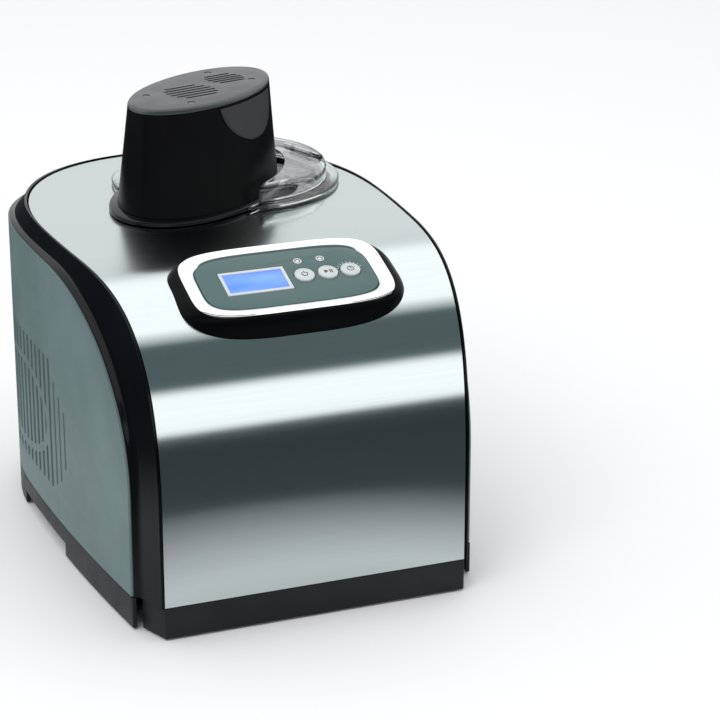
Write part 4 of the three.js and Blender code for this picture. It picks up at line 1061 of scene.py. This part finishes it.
def make_grips():
    """Shield-shaped finger pads: a grid on the tower's wall, narrowing to a rounded foot."""
    rows, columns = 36, 44
    for side, sign in (("front", -1), ("back", 1)):
        vertices = []
        for layer, grow in enumerate((1.15, 0.45)):
            for r in range(rows + 1):
                share = math.sin(math.pi / 2 * r / rows)
                z = PAD_HIGH - 0.3 - (PAD_HIGH - PAD_LOW - 0.6) * share
                rim = math.sqrt(max(1 - share ** 2.2, 0))
                half = (PAD_HALF - 0.3) * max(rim, 0.01)
                for c in range(columns + 1):
                    part = 2 * c / columns - 1
                    inside = half * (1 - abs(part))
                    fall = max(0.0, 1 - inside / 1.4) if layer == 0 else 0
                    foot_fall = max(0.0, 1 - (1 - share) * 22) if layer == 0 else 0
                    lift = max(grow - 0.6 * max(fall, foot_fall) ** 2, 0.42)
                    vertices.append(tower_surface(PAD_X + half * part, z, sign, lift))
        wide = columns + 1
        layer_size = wide * (rows + 1)
        faces = []
        for r in range(rows):
            for c in range(columns):
                a = r * wide + c
                faces.append((a, a + 1, a + wide + 1, a + wide))
                b = a + layer_size
                faces.append((b, b + wide, b + wide + 1, b + 1))
        border = list(range(wide)) + [r * wide + columns for r in range(1, rows + 1)]
        border += [rows * wide + c for c in range(columns - 1, -1, -1)]
        border += [r * wide for r in range(rows - 1, 0, -1)]
        for i, here in enumerate(border):
            following = border[(i + 1) % len(border)]
            faces.append((here, here + layer_size, following + layer_size, following))
        pad = mesh_object(f"finger_pad_{side}", vertices, faces)
        place(turn(pad, IN_TOWER), "motor_unit", "grip_grey", replaces=[f"grip_pad_{side}"], angle=50)


# ---------------------------------------------------------------- bowl, well and paddle
def make_bowl():
    profile = rounded_profile(
        [(0, BOWL_BOTTOM_Z), (44, BOWL_BOTTOM_Z), (48.5, 69), (53.9, 215.5), (56.2, 217),
         (56.2, BOWL_RIM_Z), (53, BOWL_RIM_Z), (52.4, 219), (47, 69.6), (43.4, 66.4), (4, 66.4),
         (3.4, 73), (0, 73)],
        {1: 2, 2: 3, 3: 1, 4: 1.4, 5: 1.6, 6: 1.2, 8: 3, 9: 2, 11: 1}, 5)
    bowl = turn(lathe("bowl_can", profile, 128), IN_BOWL)
    place(bowl, "bowl", "anodised", replaces=["bowl"])
    for side, sign in (("left", -1), ("right", 1)):
        outline = rounded_profile([(-6, EAR_Z - 5), (6, EAR_Z - 5), (6, EAR_Z + 2.4), (-6, EAR_Z + 2.4)],
                                  {0: 4.5, 1: 4.5, 2: 2, 3: 2}, 6)
        x0, x1 = sorted((sign * 54.8, sign * 61.4))
        ear = across(f"ear_{side}", outline, x0, x1)
        cut(ear, turn(disc("tool", BAIL_WIRE + GAP, -80, 80, 32),
                      Matrix.Translation((0, 0, EAR_Z)) @ Matrix.Rotation(math.pi / 2, 4, "Y")))
        bevel(ear, 0.5, 2)
        place(turn(ear, IN_BOWL), "bowl", "zinc", replaces=[f"bowl_ear_{side}"])
    run = [(-57, 0, EAR_Z), (-60, 0, EAR_Z), (-62.4, 0.3, EAR_Z)]
    run += arc(BAIL_RADIUS, range(178, 0, -4), EAR_Z)
    run += [(62.4, 0.3, EAR_Z), (60, 0, EAR_Z), (57, 0, EAR_Z)]
    place(turn(tube("bail_wire", run, BAIL_WIRE, 16), IN_BOWL), "bail", "zinc", replaces=["bail_handle"])


def make_well():
    collar = rounded_profile(
        [(73, 230.2), (77.4, 230.2), (77.4, 228.4), (80.5, 228.4), (80.5, 226.2), (75.6, 226.2),
         (75.6, 205.2), (58, 205.2), (58, 207.6), (73, 207.6)], {0: 1.2, 1: 0.5, 7: 0.8, 8: 0.8, 9: 2.5}, 5)
    rim = turn(lathe("well_rim", collar, 128, closed=True), IN_BOWL)
    place(rim, "base", "satin_black", replaces=["well_collar"])
    cup = rounded_profile(
        [(0, 62), (46.4, 62), (51.3, 67), (57.5, 202), (63, 202), (63, 204.7), (56, 204.7), (49.8, 67.8),
         (46, 63.5), (0, 63.5)], {1: 3, 2: 3, 6: 1.5, 7: 3, 8: 2}, 5)
    place(turn(lathe("well_cup", cup, 112), IN_BOWL), "base", "aluminium", replaces=["cooling_well"])


def make_paddle():
    outline = [(8, 84), (8, 76), (42, 76), (45.4, 96), (47.6, 176), (39, 184), (39, 176), (37.5, 100),
               (35, 88), (12, 88)]
    outline = rounded_profile(outline, {2: 5, 3: 4, 4: 6, 5: 2.5, 7: 6, 8: 5}, 5)
    parts = []
    for sign in (1, -1):
        wing = prism("tool", [(x * sign, z) for x, z in outline], -1.5, 1.5)
        parts.append(turn(wing, Matrix.Rotation(math.pi / 2, 4, "X")))
    paddle = lathe("dasher", rounded_profile(
        [(0, 74), (3.9, 74), (3.9, 75.5), (6.5, 75.5), (8.5, 78), (8.5, 92), (6.5, 96), (6.5, 198),
         (9, 202), (9, 228), (0, 228)], {3: 0.8, 4: 1, 5: 2, 6: 2, 7: 2, 8: 2, 9: 0.8}, 5), 64)
    join(paddle, *parts)
    join(paddle, box("tool", -44, 44, -2, 2, 120, 126))
    join(paddle, box("tool", -45, 45, -2, 2, 158, 164))
    cut(paddle, disc("tool", 4.6, 212, 240, 6), disc("tool", 4.6, 60, 74, 24))
    place(turn(paddle, IN_BOWL), "paddle", "white_plastic", replaces=["paddle"])


# ---------------------------------------------------------------- CAD nodes that stay, studio
def dress_cad_nodes():
    slots = {entry["node"]: entry["material_slot"] for entry in frame["record"]["subparts"]}
    for name, node in frame["nodes"].items():
        node.data.materials.clear()
        node.data.materials.append(MATERIALS[slots[name]])


def math_node(tree, operation, *values):
    node = tree.nodes.new("ShaderNodeMath")
    node.operation = operation
    for socket, value in zip(node.inputs, values):
        if isinstance(value, (int, float)):
            socket.default_value = value
        else:
            tree.links.new(value, socket)
    return node.outputs[0]


def make_floor():
    """A pale sweep; in reflections only its middle is pale, as if it lay on a dark studio's table."""
    size = 12
    corners = [(-size, -size, 0), (size, -size, 0), (size, size, 0), (-size, size, 0)]
    floor = mesh_object("floor", corners, [(0, 1, 2, 3)])
    paper = new_material("floor_paper", (0.9, 0.9, 0.9), 0.6, Specular_IOR_Level=0.0)
    tree = paper.node_tree
    place_on = tree.nodes.new("ShaderNodeTexCoord")
    length = tree.nodes.new("ShaderNodeVectorMath")
    length.operation = "LENGTH"
    tree.links.new(place_on.outputs["Object"], length.inputs[0])
    pale = (0.8, 0.8, 0.8)
    stops = [(0.0, pale), (0.27, pale), (0.4, (0.05, 0.06, 0.065)), (1.0, (0.04, 0.05, 0.055))]
    fade = colour_ramp(tree, length.outputs["Value"], stops)
    rays = tree.nodes.new("ShaderNodeLightPath")
    mix = tree.nodes.new("ShaderNodeMix")
    mix.data_type = "RGBA"
    # A Mix node's sockets share names between its types, so its colour sockets go by number.
    seen, mirrored, result = mix.inputs[6], mix.inputs[7], mix.outputs[2]
    seen.default_value = (0.97, 0.97, 0.97, 1)
    tree.links.new(rays.outputs["Is Glossy Ray"], mix.inputs[0])
    tree.links.new(fade, mirrored)
    shade(paper, Base_Color=result, Roughness=ranged(paper, noise(paper, 3), 0.55, 0.65))
    floor.data.materials.append(paper)


def make_studio():
    world = bpy.data.worlds.new("studio")
    world.use_nodes = True
    scene.world = world
    tree = world.node_tree
    source = tree.nodes.new("ShaderNodeTexCoord")
    parts = tree.nodes.new("ShaderNodeSeparateXYZ")
    tree.links.new(source.outputs["Generated"], parts.inputs["Vector"])
    forward = math_node(tree, "MULTIPLY", parts.outputs["Y"], -1)
    roll = math_node(tree, "ARCTAN2", parts.outputs["Z"], forward)
    share = math_node(tree, "DIVIDE", math_node(tree, "ADD", roll, math.pi), 2 * math.pi)
    # What shiny pieces mirror: the roll from below (0.25), the horizon in front (0.5), overhead (0.75),
    # to the horizon behind (1). A softbox in front, a dark gap, and a broad softbox overhead.
    dark = (0.07, 0.097, 0.1)
    bright = (1.0, 1.0, 1.0)
    soft = (0.64, 0.65, 0.65)
    mirrored = colour_ramp(tree, share, [
        (0.0, soft), (0.02, dark), (0.47, dark), (0.48, bright), (0.553, bright), (0.568, dark),
        (0.668, dark), (0.715, bright), (0.88, bright), (0.905, soft), (1.0, soft)])
    studio = tree.nodes["Background"]
    tree.links.new(mirrored, studio.inputs["Color"])
    studio.inputs["Strength"].default_value = 1.45
    plain = tree.nodes.new("ShaderNodeBackground")
    plain.inputs["Color"].default_value = (0.92, 0.93, 0.94, 1)
    plain.inputs["Strength"].default_value = 0.9
    rays = tree.nodes.new("ShaderNodeLightPath")
    blend = tree.nodes.new("ShaderNodeMixShader")
    tree.links.new(rays.outputs["Is Glossy Ray"], blend.inputs[0])
    tree.links.new(plain.outputs[0], blend.inputs[1])
    tree.links.new(studio.outputs[0], blend.inputs[2])
    tree.links.new(blend.outputs[0], tree.nodes["World Output"].inputs["Surface"])

    softboxes = (("key", (-1.6, -1.4, 2.2), 1.4, 16), ("top", (0.1, 0.6, 2.4), 1.6, 10))
    for name, location, width, power in softboxes:
        data = bpy.data.lights.new(name, "AREA")
        data.shape = "SQUARE"
        data.size = width
        data.energy = power
        light = bpy.data.objects.new(name, data)
        light.location = location
        light.rotation_euler = (Vector((0, 0, 0.15)) - light.location).to_track_quat("-Z", "Y").to_euler()
        light.visible_glossy = False
        scene.collection.objects.link(light)
    scene.view_settings.view_transform = "Standard"


make_camera()
dress_cad_nodes()
make_steel()
make_cheeks()
make_sides()
make_rear()
make_skirts()
make_feet()
make_housing()
make_ring()
make_fascia()
make_buttons()
make_lid()
make_tower()
make_grips()
make_bowl()
make_well()
make_paddle()
make_floor()
make_studio()
